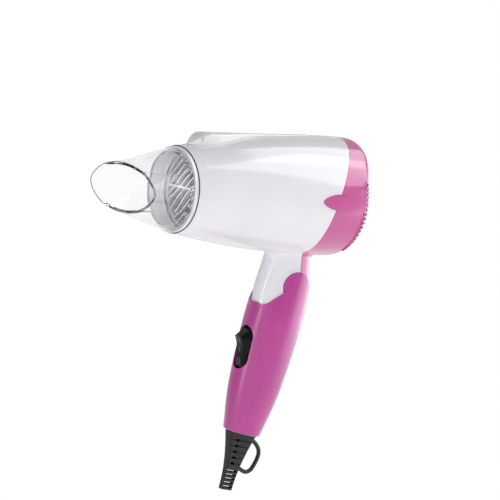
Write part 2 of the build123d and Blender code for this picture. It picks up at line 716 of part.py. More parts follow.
def impeller():
    """Axial fan: domed hub and twisted blades."""
    x1 = FAN_FRONT + FAN_LEN
    outline = Polyline((FAN_FRONT + 6, 0), (FAN_FRONT + 6, 8.3), (FAN_FRONT, 8.3), (FAN_FRONT, 9.5), (x1 - 4, 9.5))
    dome = ThreePointArc((x1 - 4, 9.5), (x1 - 1.2, 6.0), (x1, 0))
    hub = revolve(make_face(outline + dome + Line((x1, 0), (FAN_FRONT + 6, 0))), Axis.X)
    hub += tube_x(2.6, 0, FAN_FRONT, FAN_FRONT + 7)
    fan = hub
    for i in range(FAN_BLADES):
        blade = Pos(FAN_FRONT + FAN_LEN / 2 - 0.5, 0, 18.5) * Rot(0, 0, 48) * Box(15, 1.1, 22)
        fan += Rot(i * 360 / FAN_BLADES, 0, 0) * blade
    fan = single(fan) & tube_x(FAN_R, 0, FAN_FRONT, x1)
    fan -= tube_x(SHAFT_R, 0, FAN_FRONT - 1, FAN_FRONT + FAN_LEN - 2.5)
    return single(fan)


def rectifier_board():
    """Small round board on the front of the motor."""
    return tube_x(10.5, BEARING_R + 0.5, MOTOR_FRONT - 1.2, MOTOR_FRONT)


def diodes():
    """Four rectifier diodes lying on the board."""
    face = MOTOR_FRONT - 1.2
    parts = []
    for i in range(4):
        body = Pos(face - 1.3, 0, 7) * Rot(90, 0, 0) * Cylinder(1.2, 4.4)
        foot = box_between((face - 1.3, -1.6, 6.4), (face, 1.6, 7.6))
        parts.append(Rot(i * 90 + 45, 0, 0) * (body + foot))
    return group(parts)


# ---------------------------------------------------------------------------
# Heater
# ---------------------------------------------------------------------------

HEAT_FRONT = -GRILLE_FACE + GRILLE_DEPTH
COIL_R = 17.0
TAB_LEN = 3.0
heat_x0 = HEAT_FRONT + 0.3
heat_x1 = COLLAR_X - 2.0 + TAB_LEN


def mica_sleeve():
    """Rolled mica tube round the heater."""
    return tube_x(SLEEVE_R, SLEEVE_R - MICA_WALL, HEAT_FRONT, SLEEVE_BACK)


def mica_plate():
    """Plate carrying the coils: wide tabs at its ends, notched edges between."""
    wide = SLEEVE_R - MICA_WALL - RUN_GAP
    narrow = COIL_R - WIRE_R - 0.1
    plate = box_between((heat_x0, -MICA_WALL / 2, -narrow), (heat_x1, MICA_WALL / 2, narrow))
    for x in (heat_x0, heat_x1 - TAB_LEN):
        plate += box_between((x, -MICA_WALL / 2, -wide), (x + TAB_LEN, MICA_WALL / 2, wide))
    return plate


def mica_upright():
    """Upright plate, slit from the front half way."""
    middle = (heat_x0 + heat_x1) / 2
    half = MICA_WALL / 2 + 0.02
    return single(mica_plate() - box_between((heat_x0 - 1, -1, -half), (middle, 1, half)))


def mica_level():
    """Level plate, slit from the back half way."""
    middle = (heat_x0 + heat_x1) / 2
    half = MICA_WALL / 2 + 0.02
    return single(Rot(90, 0, 0) * (mica_plate() - box_between((middle, -1, -half), (heat_x1 + 1, 1, half))))


def heater_coils():
    """Two resistance wires wound round the crossed plates."""
    pitch = 2 * (HEATER_LEN - 6) / (2 * HEATER_TURNS)
    coils = []
    for start in (0.0, 0.5):
        path = Helix(pitch, pitch * (HEATER_TURNS - 0.75), COIL_R)
        at = Plane(origin=path @ 0, z_dir=path % 0)
        wire = sweep(at * Circle(WIRE_R), path=path, is_frenet=True)
        coils.append(Pos(heat_x0 + TAB_LEN + 1.2 + start * pitch, 0, 0) * Rot(0, 90, 0) * wire)
    return group(coils)


def thermostat():
    """Bimetal thermostat on the upright plate."""
    y = MICA_WALL / 2
    base = box_between((-48, y, 4), (-39, y + 2.6, 12))
    cap = Pos(-43.5, y + 3.2, 8) * Rot(90, 0, 0) * Cylinder(3.2, 1.4)
    return single(base + cap)


def thermal_fuse():
    """Thermal fuse in its two saddles, on the other face of the plate."""
    y = -MICA_WALL / 2
    fuse = Pos(-56, y - 2.0, 8) * Rot(0, 90, 0) * Cylinder(1.4, 10)
    for x in (-59.5, -52.5):
        fuse += box_between((x - 0.6, y - 2.4, 6.8), (x + 0.6, y, 9.2))
    return single(fuse)


def heater_terminals():
    """Riveted tags at the back end of the upright plate."""
    y = MICA_WALL / 2
    tags = []
    for side in (-1, 1):
        for z in (-8, 8):
            low = min(side * y, side * (y + 1.0))
            tag = box_between((heat_x1 - 3.4, low, z - 2), (heat_x1 + 1.4, low + 1.0, z + 2))
            tags.append(tag)
    return group(tags)


# ---------------------------------------------------------------------------
# Neck hardware
# ---------------------------------------------------------------------------

SCREW_Z = -41.5             # housing screw, in the neck above the hinge
SCREW_R = 1.2


def screw_x(head_x, tip_x, head_r, shank_r, toward):
    """Screw along X with a cross recess; toward is the side its tip points to."""
    head = 1.6
    x0, x1 = sorted((head_x, head_x + toward * head))
    screw = tube_x(head_r, 0, x0, x1)
    a, b = sorted((head_x + toward * (head - 0.1), tip_x))
    screw += tube_x(shank_r, 0, a, b)
    for angle in (0, 90):
        slot = box_between((head_x - 0.7, -head_r * 0.6, -0.25), (head_x + 0.7, head_r * 0.6, 0.25))
        screw -= Rot(angle, 0, 0) * slot
    return single(screw)


def housing_screw():
    """Screw holding the cover's tongue to the front half of the neck."""
    return Pos(0, 0, SCREW_Z) * screw_x(13.2, -4.0, 2.6, SCREW_R, -1)


def barrel_boss():
    """Screw post in the front half of the neck."""
    return Pos(0, 0, SCREW_Z) * tube_x(3.2, SCREW_R, -NECK_TOP_DEPTH + 1, SEAM_X)


def cover_boss():
    """Screw post in the cover's tongue: solid tube and head recess."""
    post = tube_x(3.2, 0, SEAM_X, NECK_TOP_DEPTH)
    return Pos(0, 0, SCREW_Z) * post


def cover_boss_cut():
    """Hole and head recess of the cover's screw post."""
    return Pos(0, 0, SCREW_Z) * (tube_x(1.3, 0, SEAM_X - 2, 20) + tube_x(2.9, 0, 11.6, 30))


def hinge_pin():
    """Steel pin of the folding hinge."""
    return rod_y(HINGE_PIN_R, HINGE_PIN_LEN / 2, 0, GRIP_TO_HINGE)


# ---------------------------------------------------------------------------
# Handle, in its own slanted frame: z up along the handle, -x towards the front
# ---------------------------------------------------------------------------

CHEEK_GAP = 0.3             # between a cheek and the neck's boss
SCREW_BOSS_Z = -9.0
PIN_SOCKET = HINGE_PIN_LEN / 2


def handle_sections():
    """Height, half depth and half width of the handle's oval sections."""
    deep = HANDLE_DEPTH - FOOT_DEPTH
    wide = HANDLE_WIDTH - FOOT_WIDTH
    lower = [(z, FOOT_DEPTH + swell * deep, FOOT_WIDTH + swell * wide)
             for z, swell in ((-GRIP_TO_FOOT, 0.0), (-25, 0.27), (-10, 0.63), (10, 0.86), (35, 1.0))]
    upper = [(47, 0.98 * HANDLE_DEPTH, HANDLE_WIDTH), (74, 0.78 * HANDLE_DEPTH, 0.97 * HANDLE_WIDTH)]
    return lower + upper


def handle_round(grow=0.0):
    """Lofted oval handle, straight-cut at both ends."""
    faces = [Plane((0, 0, z)) * Ellipse(a + grow, b + grow) for z, a, b in handle_sections()]
    return loft(faces)


def cheek_area():
    """Side-view area under the handle's rim, with the round top of the cheeks."""
    top = GRIP_TO_HINGE + REAR_RIM_RISE
    front = GRIP_TO_HINGE - RIM_DROP
    low = (-0.96 * HANDLE_DEPTH, front)
    high = (-0.87 * LOBE_R, GRIP_TO_HINGE - 0.54 * LOBE_R)
    middle = ((low[0] + high[0]) / 2 + 0.4, (low[1] + high[1]) / 2 - 0.6)
    rise = Spline(low, middle, high, tangents=[(1, 0.1), (0.55, 0.83)])
    rest = Polyline(high, (0, GRIP_TO_HINGE), (0, top), (40, top), (40, -80), (-40, -80),
                    (-40, front), low)
    return make_face(rise + rest) + Pos(0, GRIP_TO_HINGE) * Circle(LOBE_R)


def front_area(shift=0.0):
    """Side-view area of the front shell: ahead of the seam, and the round cheeks."""
    seam = ThreePointArc((7.3 + shift, 68), (9.6 + shift, 30), (2.4 + shift, -38))
    rest = Polyline((2.4 + shift, -38), (-60, -38), (-60, 90), (7.3 + shift, 90), (7.3 + shift, 68))
    return make_face(seam + rest) + Pos(0, GRIP_TO_HINGE) * Circle(LOBE_R + shift)


def handle_shell():
    """Outer form cut by the rim, hollow, with a rounded foot edge."""
    outer = handle_round()
    foot = [e for e in outer.edges() if abs((e @ 0.5).Z + GRIP_TO_FOOT) < 0.01]
    shell = fillet(foot, 1.5) & side_prism(cheek_area())
    room = handle_round(-HANDLE_WALL) & box_between((-40, -40, -GRIP_TO_FOOT + FOOT_FLOOR), (40, 40, 90))
    rim = rod_y(LOBE_R, FAR / 2, 0, GRIP_TO_HINGE) - rod_y(NECK_BOSS_R, FAR / 2, 0, GRIP_TO_HINGE)
    shelf = GROOVE_FLOOR + CHEEK_GAP
    rim -= box_between((-FAR, -shelf, -FAR), (FAR, shelf, FAR))
    shell -= room - rim
    shell -= rod_y(NECK_BOSS_R + 0.35, NECK_WIDTH + CHEEK_GAP, 0, GRIP_TO_HINGE)
    stem = RELIEF_STEM_DEPTH / 2 + 0.05
    half = RELIEF_STEM_HALF + 0.05
    shell -= box_between((-stem, -half, -GRIP_TO_FOOT - 5), (stem, half, -GRIP_TO_FOOT + 5))
    return shell


# Rocker switch and its body
SWITCH_FRONT = -12.8
SWITCH_BACK = 1.0
SWITCH_HALF = 8.2
SWITCH_REACH = 16.8
POCKET_HALF = 6.7
POCKET_REACH = 15.3
PIVOT_X = -9.0
ROCKER_R = 15.0             # ends of the rocker are round about its pivot


def stadium_x(half_len, half_width, x0, x1):
    """Round-ended bar along X, standing on the slot's centre."""
    plane = Plane(origin=(x0, 0, SLOT_CENTRE), x_dir=(0, 0, 1), z_dir=(1, 0, 0))
    return extrude(plane * SlotOverall(2 * half_len, 2 * half_width), amount=x1 - x0)


def switch_box(gap=0.0):
    """Outside of the switch body."""
    return box_between((SWITCH_FRONT, -SWITCH_HALF - gap, SLOT_CENTRE - SWITCH_REACH - gap),
                       (SWITCH_BACK, SWITCH_HALF + gap, SLOT_CENTRE + SWITCH_REACH + gap))


def pocket_box(x0, x1):
    """Room for the turning rocker."""
    return box_between((x0, -POCKET_HALF, SLOT_CENTRE - POCKET_REACH),
                       (x1, POCKET_HALF, SLOT_CENTRE + POCKET_REACH))


def neck_path():
    """Room that the neck needs inside the handle while it folds."""
    pin = Pos(0, 0, GRIP_TO_HINGE)
    neck = Pos(0, 0, HINGE_DROP) * neck_form(SLIP_GAP)
    neck = Rot(0, -GRIP_TILT, 0) * (neck & rod_y(26, FAR / 2))
    return [pin * Rot(0, -turn, 0) * neck for turn in range(0, int(FOLD_MAX) + 1, 15)]


def handle_front():
    """Front shell with the two hinge cheeks, the switch collar and the screw posts."""
    shell = handle_shell() & side_prism(front_area())
    path = [p - rod_y(GROOVE_R, FAR / 2, 0, GRIP_TO_HINGE) for p in neck_path()]
    shell -= path
    solid = handle_round(-HANDLE_WALL / 2)
    collar = box_between((-FAR / 4, -SWITCH_HALF - 1, SLOT_CENTRE - SWITCH_REACH - 1),
                         (SWITCH_FRONT, SWITCH_HALF + 1, SLOT_CENTRE + SWITCH_REACH + 1))
    shell += collar & solid
    shell += Pos(0, 0, SCREW_BOSS_Z) * tube_x(3.0, 0, -HANDLE_DEPTH, 2.0) & solid
    shell += box_between((-HANDLE_DEPTH, -CLAMP_HALF, CLAMP_Z - 2.5), (CLAMP_SEAT, CLAMP_HALF, CLAMP_Z + 2.5)) & solid
    for side in (-1, 1):
        cheek = Pos(0, side * (NECK_WIDTH + CHEEK_GAP + 0.8), 0) * rod_y(6.0, 0.8, 0, GRIP_TO_HINGE)
        shell += cheek & solid
    shell -= switch_box(0.1)
    shell -= stadium_x(SLOT_LEN / 2, SLOT_WIDTH / 2, -FAR / 4, SWITCH_FRONT)
    shell -= [pocket_box(-16.6, SWITCH_FRONT + 1) & handle_round(-HANDLE_WALL / 2)]
    shell -= rod_y(HINGE_PIN_R, PIN_SOCKET, 0, GRIP_TO_HINGE)
    shell -= Pos(0, 0, SCREW_BOSS_Z) * tube_x(SCREW_R, 0, -8, 5)
    for side in (-1, 1):
        shell -= Pos(0, side * CLAMP_SCREW_Y, CLAMP_Z) * tube_x(0.9, 0, CLAMP_SEAT - 5.5, CLAMP_SEAT + 1)
    shell -= flange_box()
    return single(shell)


def handle_back():
    """Rear strip of the handle with its screw post and the ribs behind the switch."""
    shell = handle_shell() - side_prism(front_area(SEAM_GAP))
    solid = handle_round(-HANDLE_WALL / 2)
    shell += Pos(0, 0, SCREW_BOSS_Z) * tube_x(3.0, 0, 2.0, HANDLE_DEPTH) & solid
    for z in (SLOT_CENTRE - 11, SLOT_CENTRE + 11):
        shell += box_between((SWITCH_BACK, -6, z - 0.8), (HANDLE_DEPTH, 6, z + 0.8)) & solid
    shell -= Pos(0, 0, SCREW_BOSS_Z) * (tube_x(1.3, 0, 0, 30) + tube_x(2.8, 0, 11.5, 40))
    shell -= flange_box()
    return single(shell)


def handle_screw():
    """Screw joining the two handle shells."""
    return Pos(0, 0, SCREW_BOSS_Z) * screw_x(13.1, -5.0, 2.5, SCREW_R, -1)


def switch_body():
    """Switch housing: open box in front, with holes for the rocker's pin."""
    body = switch_box()
    body -= pocket_box(SWITCH_FRONT - 1, -2.0)
    body -= rod_y(ROCKER_PIN_R, SWITCH_HALF + 1, PIVOT_X, SLOT_CENTRE)
    return single(body)


def rocker_pin():
    """Pin of the rocker, pressed into the switch body."""
    return rod_y(ROCKER_PIN_R, SWITCH_HALF, PIVOT_X, SLOT_CENTRE)


def rocker_section(z, front, base=-14.8):
    """Section across the rocker: wide at the slot, narrow at its front face."""
    wide = SLOT_WIDTH / 2 - 0.4
    points = ((PIVOT_X + 1, -wide), (PIVOT_X + 1, wide), (base, wide), (front, ROCKER_FACE / 2),
              (front, -ROCKER_FACE / 2), (base, -wide))
    return Plane((0, 0, z)) * make_face(Polyline(*points, close=True))


def rocker():
    """Rocker of the switch: dished front face, standing proud at its upper end."""
    peak = SLOT_CENTRE + 5.5
    high = 17.2 + ROCKER_RISE + 1.8
    top = loft([rocker_section(peak, -high), rocker_section(SLOT_CENTRE + 13.5, -16.2)], ruled=True)
    dish = loft([rocker_section(peak, -high), rocker_section(SLOT_CENTRE + 1.8, -20.5),
                 rocker_section(SLOT_CENTRE - 2.5, -18.7), rocker_section(SLOT_CENTRE - 7.5, -17.6),
                 rocker_section(SLOT_CENTRE - 13.5, -15.6)])
    body = (top + dish) & rod_y(ROCKER_R, 20, PIVOT_X, SLOT_CENTRE)
    body &= stadium_x(SLOT_LEN / 2 - 0.4, SLOT_WIDTH / 2 - 0.4, -40, 0)
    body &= box_between((-40, -20, SLOT_CENTRE - 12.7), (SWITCH_FRONT - 0.8, 20, SLOT_CENTRE + 12.7))
    core = box_between((SWITCH_FRONT - 1, -5.9, SLOT_CENTRE - 8), (PIVOT_X + 2.4, 5.9, SLOT_CENTRE + 8))
    body += core
    body -= rod_y(ROCKER_PIN_R + RUN_GAP, 20, PIVOT_X, SLOT_CENTRE)
    return single(body)


def switch_terminals():
    """Three blades under the switch body."""
    z = SLOT_CENTRE - SWITCH_REACH
    return group([box_between((-8.5, y - 0.3, z - 5), (-5.5, y + 0.3, z)) for y in (-4.5, 0, 4.5)])


# ---------------------------------------------------------------------------
# Strain relief with hanging loop, and the clamp for the cord
# ---------------------------------------------------------------------------

RELIEF_STEM_DEPTH = 15.0
RELIEF_STEM_HALF = 2.6
FLANGE_LOW = -GRIP_TO_FOOT + FOOT_FLOOR
FLANGE_HIGH = FLANGE_LOW + 2.6
RELIEF_TOP = -GRIP_TO_FOOT - 0.35
CLAMP_Z = -24.5
CLAMP_SEAT = -2.6
CLAMP_HALF = 8.0
CLAMP_SCREW_Y = 5.6


def flange_box():
    """Room for the strain relief's flange above the foot's floor."""
    return box_between((-9.6, -5.1, FLANGE_LOW), (9.6, 5.1, FLANGE_HIGH + 0.1))


def relief_depth(drop):
    """Half depth of the strain relief at a distance below its top."""
    steps = ((0, RELIEF_TOP_DEPTH), (6.5, 9.2), (14.8, 6.9), (24.8, 5.1), (RELIEF_LEN, RELIEF_END_DEPTH))
    for (d0, w0), (d1, w1) in zip(steps, steps[1:]):
        if drop <= d1:
            return w0 + (w1 - w0) * (drop - d0) / (d1 - d0)
    return RELIEF_END_DEPTH


def relief_body():
    """Flat tapering body, as a loft of rounded sections."""
    faces = []
    for share in (0, 0.1, 0.25, 0.45, 0.7, 1.0):
        drop = share * RELIEF_LEN
        half = RELIEF_TOP_HALF + share * (RELIEF_END_HALF - RELIEF_TOP_HALF)
        deep = relief_depth(drop)
        plane = Plane((0, 0, RELIEF_TOP - drop))
        faces.append(plane * RectangleRounded(2 * deep, 2 * half, 0.8 * half))
    return loft(faces)


def hanging_loop():
    """Round-ended loop standing off the rear edge."""
    places = ((8.8, 3.0), (12.2, 4.3), (14.9, 6.0), (17.4, 8.6), (18.4, 11.4), (18.1, 15.2), (17.0, 19.0),
              (15.3, 22.1), (12.2, 23.6), (8.6, 22.9), (4.2, 21.6))
    curve = Spline(*[(x, RELIEF_TOP - drop) for x, drop in places])
    at = Plane(origin=(*[(curve @ 0).X, 0], (curve @ 0).Y), z_dir=((curve % 0).X, 0, (curve % 0).Y))
    path = Plane.XZ * curve
    bar = sweep(at * Circle(LOOP_BAR / 2), path=path)
    return bar


def relief_grooves():
    """Grooves across both flat sides, open at the rear edge, each with a deep pit; then through slots."""
    cuts = []
    floor = CORD_THICK / 2 + 0.45
    for i in range(5):
        z = RELIEF_TOP - 4.4 - i * 3.7
        deep = relief_depth(RELIEF_TOP - z)
        for side in (-1, 1):
            low, high = sorted((side * floor, side * 9))
            cuts.append(box_between((1.4 - deep, low, z - 0.5), (deep + 2, high, z + 0.5)))
            low, high = sorted((side * (CORD_THICK / 2 - 0.2), side * 9))
            pit = -0.24 * deep
            cuts.append(box_between((pit - 1.5, low, z - 0.8), (pit + 1.3, high, z + 0.8)))
    for i in range(5):
        z = RELIEF_TOP - 24.0 - i * 2.5
        deep = relief_depth(RELIEF_TOP - z) - 0.9
        cuts.append(box_between((-deep, -9, z - 0.6), (deep, 9, z + 0.6)))
    return cuts


def strain_relief():
    """Flexible strain relief: stem and flange in the foot, slotted tail, hanging loop."""
    relief = relief_body()
    relief += box_between((-RELIEF_STEM_DEPTH / 2, -RELIEF_STEM_HALF, RELIEF_TOP - 0.5),
                          (RELIEF_STEM_DEPTH / 2, RELIEF_STEM_HALF, FLANGE_LOW + 0.5))
    relief += box_between((-9.5, -5.0, FLANGE_LOW), (9.5, 5.0, FLANGE_HIGH))
    relief -= relief_grooves()
    relief += hanging_loop()
    relief -= box_between((-CORD_WIDE / 2, -CORD_THICK / 2, -FAR), (CORD_WIDE / 2, CORD_THICK / 2, 0))
    return single(relief)


def cord_clamp():
    """Saddle that presses the cord; its channel is open for it."""
    clamp = box_between((CLAMP_SEAT, -CLAMP_HALF, CLAMP_Z - 2.5), (4.6, CLAMP_HALF, CLAMP_Z + 2.5))
    clamp -= box_between((CLAMP_SEAT - 1, -2.2, CLAMP_Z - 4), (2.8, 2.2, CLAMP_Z + 4))
    for side in (-1, 1):
        clamp -= Pos(0, side * CLAMP_SCREW_Y, CLAMP_Z) * tube_x(1.0, 0, CLAMP_SEAT - 1, 6)
    return single(clamp)


def clamp_screws():
    """Two screws of the cord clamp."""
    return group([Pos(0, side * CLAMP_SCREW_Y, CLAMP_Z) * screw_x(6.2, -7.0, 1.8, 0.9, -1)
                  for side in (-1, 1)])


# ---------------------------------------------------------------------------
# Every node, placed in the dryer's own frame
# ---------------------------------------------------------------------------

IN_BARREL = {
    "barrel_shell": white_barrel,
    "rear_cover": rear_cover,
    "inlet_screen": inlet_screen,
    "side_clips": side_clips,
    "top_trim": top_trim,
    "ion_emitter": ion_emitter,
    "front_grille": front_grille,
    "swivel_ring": swivel_ring,
    "nozzle": nozzle,
    "stator": stator,
    "motor_can": motor_can,
    "motor_end_cap": motor_end_cap,
    "bearings": bearings,
    "magnets": magnets,
    "armature": armature,
    "commutator": commutator,
    "motor_shaft": motor_shaft,
    "impeller": impeller,
    "rectifier_board": rectifier_board,
    "diodes": diodes,
    "mica_sleeve": mica_sleeve,
    "mica_upright": mica_upright,
    "mica_level": mica_level,
    "heater_coils": heater_coils,
    "thermostat": thermostat,
    "thermal_fuse": thermal_fuse,
    "heater_terminals": heater_terminals,
    "housing_screw": housing_screw,
}
IN_HANDLE = {
    "hinge_pin": hinge_pin,
    "handle_front": handle_front,
    "handle_back": handle_back,
    "handle_screw": handle_screw,
    "switch_body": switch_body,
    "rocker": rocker,
    "rocker_pin": rocker_pin,
    "switch_terminals": switch_terminals,
    "strain_relief": strain_relief,
    "cord_clamp": cord_clamp,
    "clamp_screws": clamp_screws,
}


def main():
    """Build every node and write one STEP file for each."""
    for place, nodes in ((BARREL_AT, IN_BARREL), (HANDLE_AT, IN_HANDLE)):
        for name, make in nodes.items():
            export_step(place * make(), f"parts/{name}.step")


if __name__ == "__main__":
    main()
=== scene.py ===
"""Folding travel hair dryer: finishes, fine pieces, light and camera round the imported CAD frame."""

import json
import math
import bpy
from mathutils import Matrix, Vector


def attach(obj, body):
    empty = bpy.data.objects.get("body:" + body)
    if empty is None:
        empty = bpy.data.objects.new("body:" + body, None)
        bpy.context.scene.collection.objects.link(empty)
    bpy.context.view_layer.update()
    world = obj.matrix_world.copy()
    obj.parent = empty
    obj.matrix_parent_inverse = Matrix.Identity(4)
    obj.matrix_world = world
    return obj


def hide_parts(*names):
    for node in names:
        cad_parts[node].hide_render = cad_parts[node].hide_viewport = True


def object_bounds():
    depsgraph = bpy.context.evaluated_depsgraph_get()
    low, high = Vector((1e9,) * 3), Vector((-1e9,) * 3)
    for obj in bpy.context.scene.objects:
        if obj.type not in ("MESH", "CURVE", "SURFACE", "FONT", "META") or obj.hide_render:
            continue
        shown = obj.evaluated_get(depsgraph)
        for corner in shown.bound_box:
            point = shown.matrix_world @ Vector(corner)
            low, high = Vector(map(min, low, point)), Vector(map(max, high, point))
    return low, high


bl_info = {
    "name": "Travel Hair Dryer",
    "version": (1, 0, 0),
    "blender": (4, 5, 0),
    "location": "View3D > Sidebar > Hair Dryer",
    "description": "Finishes and fine pieces of a folding travel hair dryer",
    "category": "Object",
}

import bpy
from bpy.props import FloatProperty, PointerProperty, StringProperty
from mathutils import Matrix, Vector

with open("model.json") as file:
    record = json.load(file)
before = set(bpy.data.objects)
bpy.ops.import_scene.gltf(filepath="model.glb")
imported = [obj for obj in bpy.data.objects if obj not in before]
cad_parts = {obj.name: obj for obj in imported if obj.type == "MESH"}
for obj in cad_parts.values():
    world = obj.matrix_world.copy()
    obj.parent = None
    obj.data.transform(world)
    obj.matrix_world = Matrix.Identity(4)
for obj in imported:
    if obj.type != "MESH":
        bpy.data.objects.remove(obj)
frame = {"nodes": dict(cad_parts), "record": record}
CAD_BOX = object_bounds()
MM = 0.001


# ---------------------------------------------------------------------------
# Colours and shader nodes
# ---------------------------------------------------------------------------

def linear(hex_code):
    """sRGB hex colour as linear RGBA."""
    parts = [int(hex_code[i:i + 2], 16) / 255 for i in (1, 3, 5)]
    return tuple(c / 12.92 if c <= 0.04045 else ((c + 0.055) / 1.055) ** 2.4 for c in parts) + (1.0,)


def put(tree, kind, settings=None, links=None):
    """Add a shader node; settings are properties or input values, links are sockets of other nodes."""
    node = tree.nodes.new(kind)
    for key, value in (settings or {}).items():
        if isinstance(key, str) and hasattr(node, key):
            setattr(node, key, value)
        else:
            node.inputs[key].default_value = value
    for key, socket in (links or {}).items():
        tree.links.new(socket, node.inputs[key])
    return node


def new_material(name):
    """Empty material with its surface shader and output, and the place of each point in metres."""
    mat = bpy.data.materials.new(name)
    mat.use_nodes = True
    tree = mat.node_tree
    tree.nodes.clear()
    shader = put(tree, "ShaderNodeBsdfPrincipled")
    put(tree, "ShaderNodeOutputMaterial", links={"Surface": shader.outputs[0]})
    place = put(tree, "ShaderNodeTexCoord").outputs["Object"]
    return mat, tree, shader, place


def per_mm(size_mm):
    """Texture scale at which one feature of a noise is about this many millimetres across."""
    return 1.0 / (size_mm * MM)


def speckled(tree, place, size_mm, low, high, detail=2.0):
    """Soft noise of a real size, brought to a range."""
    noise = put(tree, "ShaderNodeTexNoise", {"Scale": per_mm(size_mm), "Detail": detail}, {"Vector": place})
    spread = put(tree, "ShaderNodeMapRange", {"From Min": 0.3, "From Max": 0.7, "To Min": low, "To Max": high},
                 {"Value": noise.outputs["Fac"]})
    return noise, spread.outputs["Result"]


def tinted(tree, factor, first, second):
    """Colour between two hex colours."""
    mix = put(tree, "ShaderNodeMix", {"data_type": "RGBA"}, {0: factor})
    mix.inputs[6].default_value = linear(first)
    mix.inputs[7].default_value = linear(second)
    return mix.outputs[2]


def bumped(tree, shader, height, strength, depth_mm):
    """Bump from a height socket, with its real depth."""
    bump = put(tree, "ShaderNodeBump", {"Strength": strength, "Distance": depth_mm * MM}, {"Height": height})
    tree.links.new(bump.outputs[0], shader.inputs["Normal"])


FLOW_MM = 26.0      # patches of tint left by the flow of the melt
HAZE_MM = 3.0       # patches of slightly duller gloss


def moulded(name, main, shade, rough, gloss=0.0, orange_peel_mm=6.0, peel_mm=0.02, ior=1.52,
            coat_rough=0.08):
    """Injection-moulded plastic: faint flow tint, slight waviness and finer grain in the gloss."""
    mat, tree, shader, place = new_material(name)
    _, flow = speckled(tree, place, FLOW_MM, 0.0, 1.0)
    tree.links.new(tinted(tree, flow, main, shade), shader.inputs["Base Color"])
    _, haze = speckled(tree, place, HAZE_MM, rough * 0.97, rough * 1.04, 3.0)
    tree.links.new(haze, shader.inputs["Roughness"])
    peel_noise, _ = speckled(tree, place, orange_peel_mm, 0.0, 1.0)
    bumped(tree, shader, peel_noise.outputs["Fac"], 0.05, peel_mm)
    shader.inputs["IOR"].default_value = ior
    shader.inputs["Coat Weight"].default_value = gloss
    shader.inputs["Coat Roughness"].default_value = coat_rough
    return mat


def white_abs():
    """Moulded and polished white ABS: bright body with a soft, slightly uneven gloss."""
    return moulded("White_moulded_ABS", "#F1F0F4", "#EDECF1", 0.15, 0.4)


def white_trim_abs():
    """High-gloss white ABS of trim and ring: sharper reflections than the barrel."""
    return moulded("White_gloss_ABS", "#F6F5F8", "#F1F0F4", 0.14, 0.5, 4.0, 0.012)


def magenta_abs(shade):
    """Moulded magenta ABS with a fine satin gloss."""
    return moulded("Magenta_moulded_ABS", shade, "#C44A93", 0.3, 1.0)


def grip_abs(shade):
    """Magenta ABS of the grip, spark-textured very finely, so its highlights are soft."""
    return moulded("Magenta_satin_ABS", shade, "#B43490", 0.34, 0.8, coat_rough=0.24)


def pale_nylon():
    """Heat-resistant nylon of the outlet grille: pale grey with a dry satin surface."""
    return moulded("Pale_glass_nylon", "#DCDCDE", "#D2D2D5", 0.38, 0.0, 0.8, 0.02)


def black_nylon():
    """Moulded black nylon of hidden housings."""
    return moulded("Black_moulded_nylon", "#1B1B1D", "#151517", 0.45, 0.0, 0.8, 0.02)


def black_gloss_abs():
    """Polished black ABS of the rocker."""
    return moulded("Black_gloss_ABS", "#020203", "#040405", 0.07, 0.0, 3.0, 0.01, 1.3)


def grey_painted_glint():
    """Grey on the raised marks of the rocker: painted highlight standing for their glints."""
    return moulded("Grey_painted_glint_marks", "#6A6A6C", "#5E5E60", 0.4, 0.0, 0.8, 0.01)


def grey_nylon():
    """Moulded grey nylon of fan and duct."""
    return moulded("Grey_moulded_nylon", "#57585C", "#4D4E52", 0.4, 0.0, 0.9, 0.02)


def clear_polycarbonate():
    """Moulded clear polycarbonate: glassy walls with barely visible flow waves."""
    mat, tree, shader, place = new_material("Clear_polycarbonate")
    shader.inputs["Base Color"].default_value = linear("#FBFBFC")
    shader.inputs["Transmission Weight"].default_value = 1.0
    shader.inputs["IOR"].default_value = 1.1
    shader.inputs["Coat Weight"].default_value = 0.3
    shader.inputs["Coat Roughness"].default_value = 0.03
    _, haze = speckled(tree, place, 6.0, 0.012, 0.03)
    tree.links.new(haze, shader.inputs["Roughness"])
    wave, _ = speckled(tree, place, 14.0, 0.0, 1.0)
    bumped(tree, shader, wave.outputs["Fac"], 0.15, 0.05)
    return mat


def painted_rim_reflection():
    """Rounded edge of the clear wall, in a grey that paints its reflection: it gathers the dark of the room, so it
    reads as a thin grey line.
    """
    return moulded("Painted_reflection_polycarbonate_edge", "#8F8F94", "#85858B", 0.2, 0.3, 4.0, 0.01)


def shadow_gap(shade):
    """Painted shade in a narrow gap between mouldings: dark and without gloss."""
    mat, tree, shader, place = new_material("Painted_gap_shade_" + shade[1:])
    _, tone = speckled(tree, place, 1.5, 0.0, 1.0)
    darker = "#" + "".join("%02X" % int(int(shade[i:i + 2], 16) * 0.88) for i in (1, 3, 5))
    tree.links.new(tinted(tree, tone, shade, darker), shader.inputs["Base Color"])
    shader.inputs["Roughness"].default_value = 0.8
    shader.inputs["Specular IOR Level"].default_value = 0.2
    return mat


def painted_vent_shade():
    """Dark sheet behind the vents, painted shade of the hollows inside them: a weave of fine crossed threads with
    a plum cast.
    """
    mat, tree, shader, place = new_material("Painted_vent_shade_weave")
    # the weave is drawn about 1 mm coarse
    warp = put(tree, "ShaderNodeTexWave", {"Scale": per_mm(3.0), "bands_direction": "Z"}, {"Vector": place})
    weft = put(tree, "ShaderNodeTexWave", {"Scale": per_mm(3.0), "bands_direction": "Y"}, {"Vector": place})
    weave = put(tree, "ShaderNodeMath", {"operation": "MAXIMUM"},
                {0: warp.outputs["Fac"], 1: weft.outputs["Fac"]}).outputs[0]
    tree.links.new(tinted(tree, weave, "#360A27", "#4C1237"), shader.inputs["Base Color"])
    shader.inputs["Roughness"].default_value = 0.85
    shader.inputs["Specular IOR Level"].default_value = 0.1
    bumped(tree, shader, weave, 0.3, 0.05)
    return mat


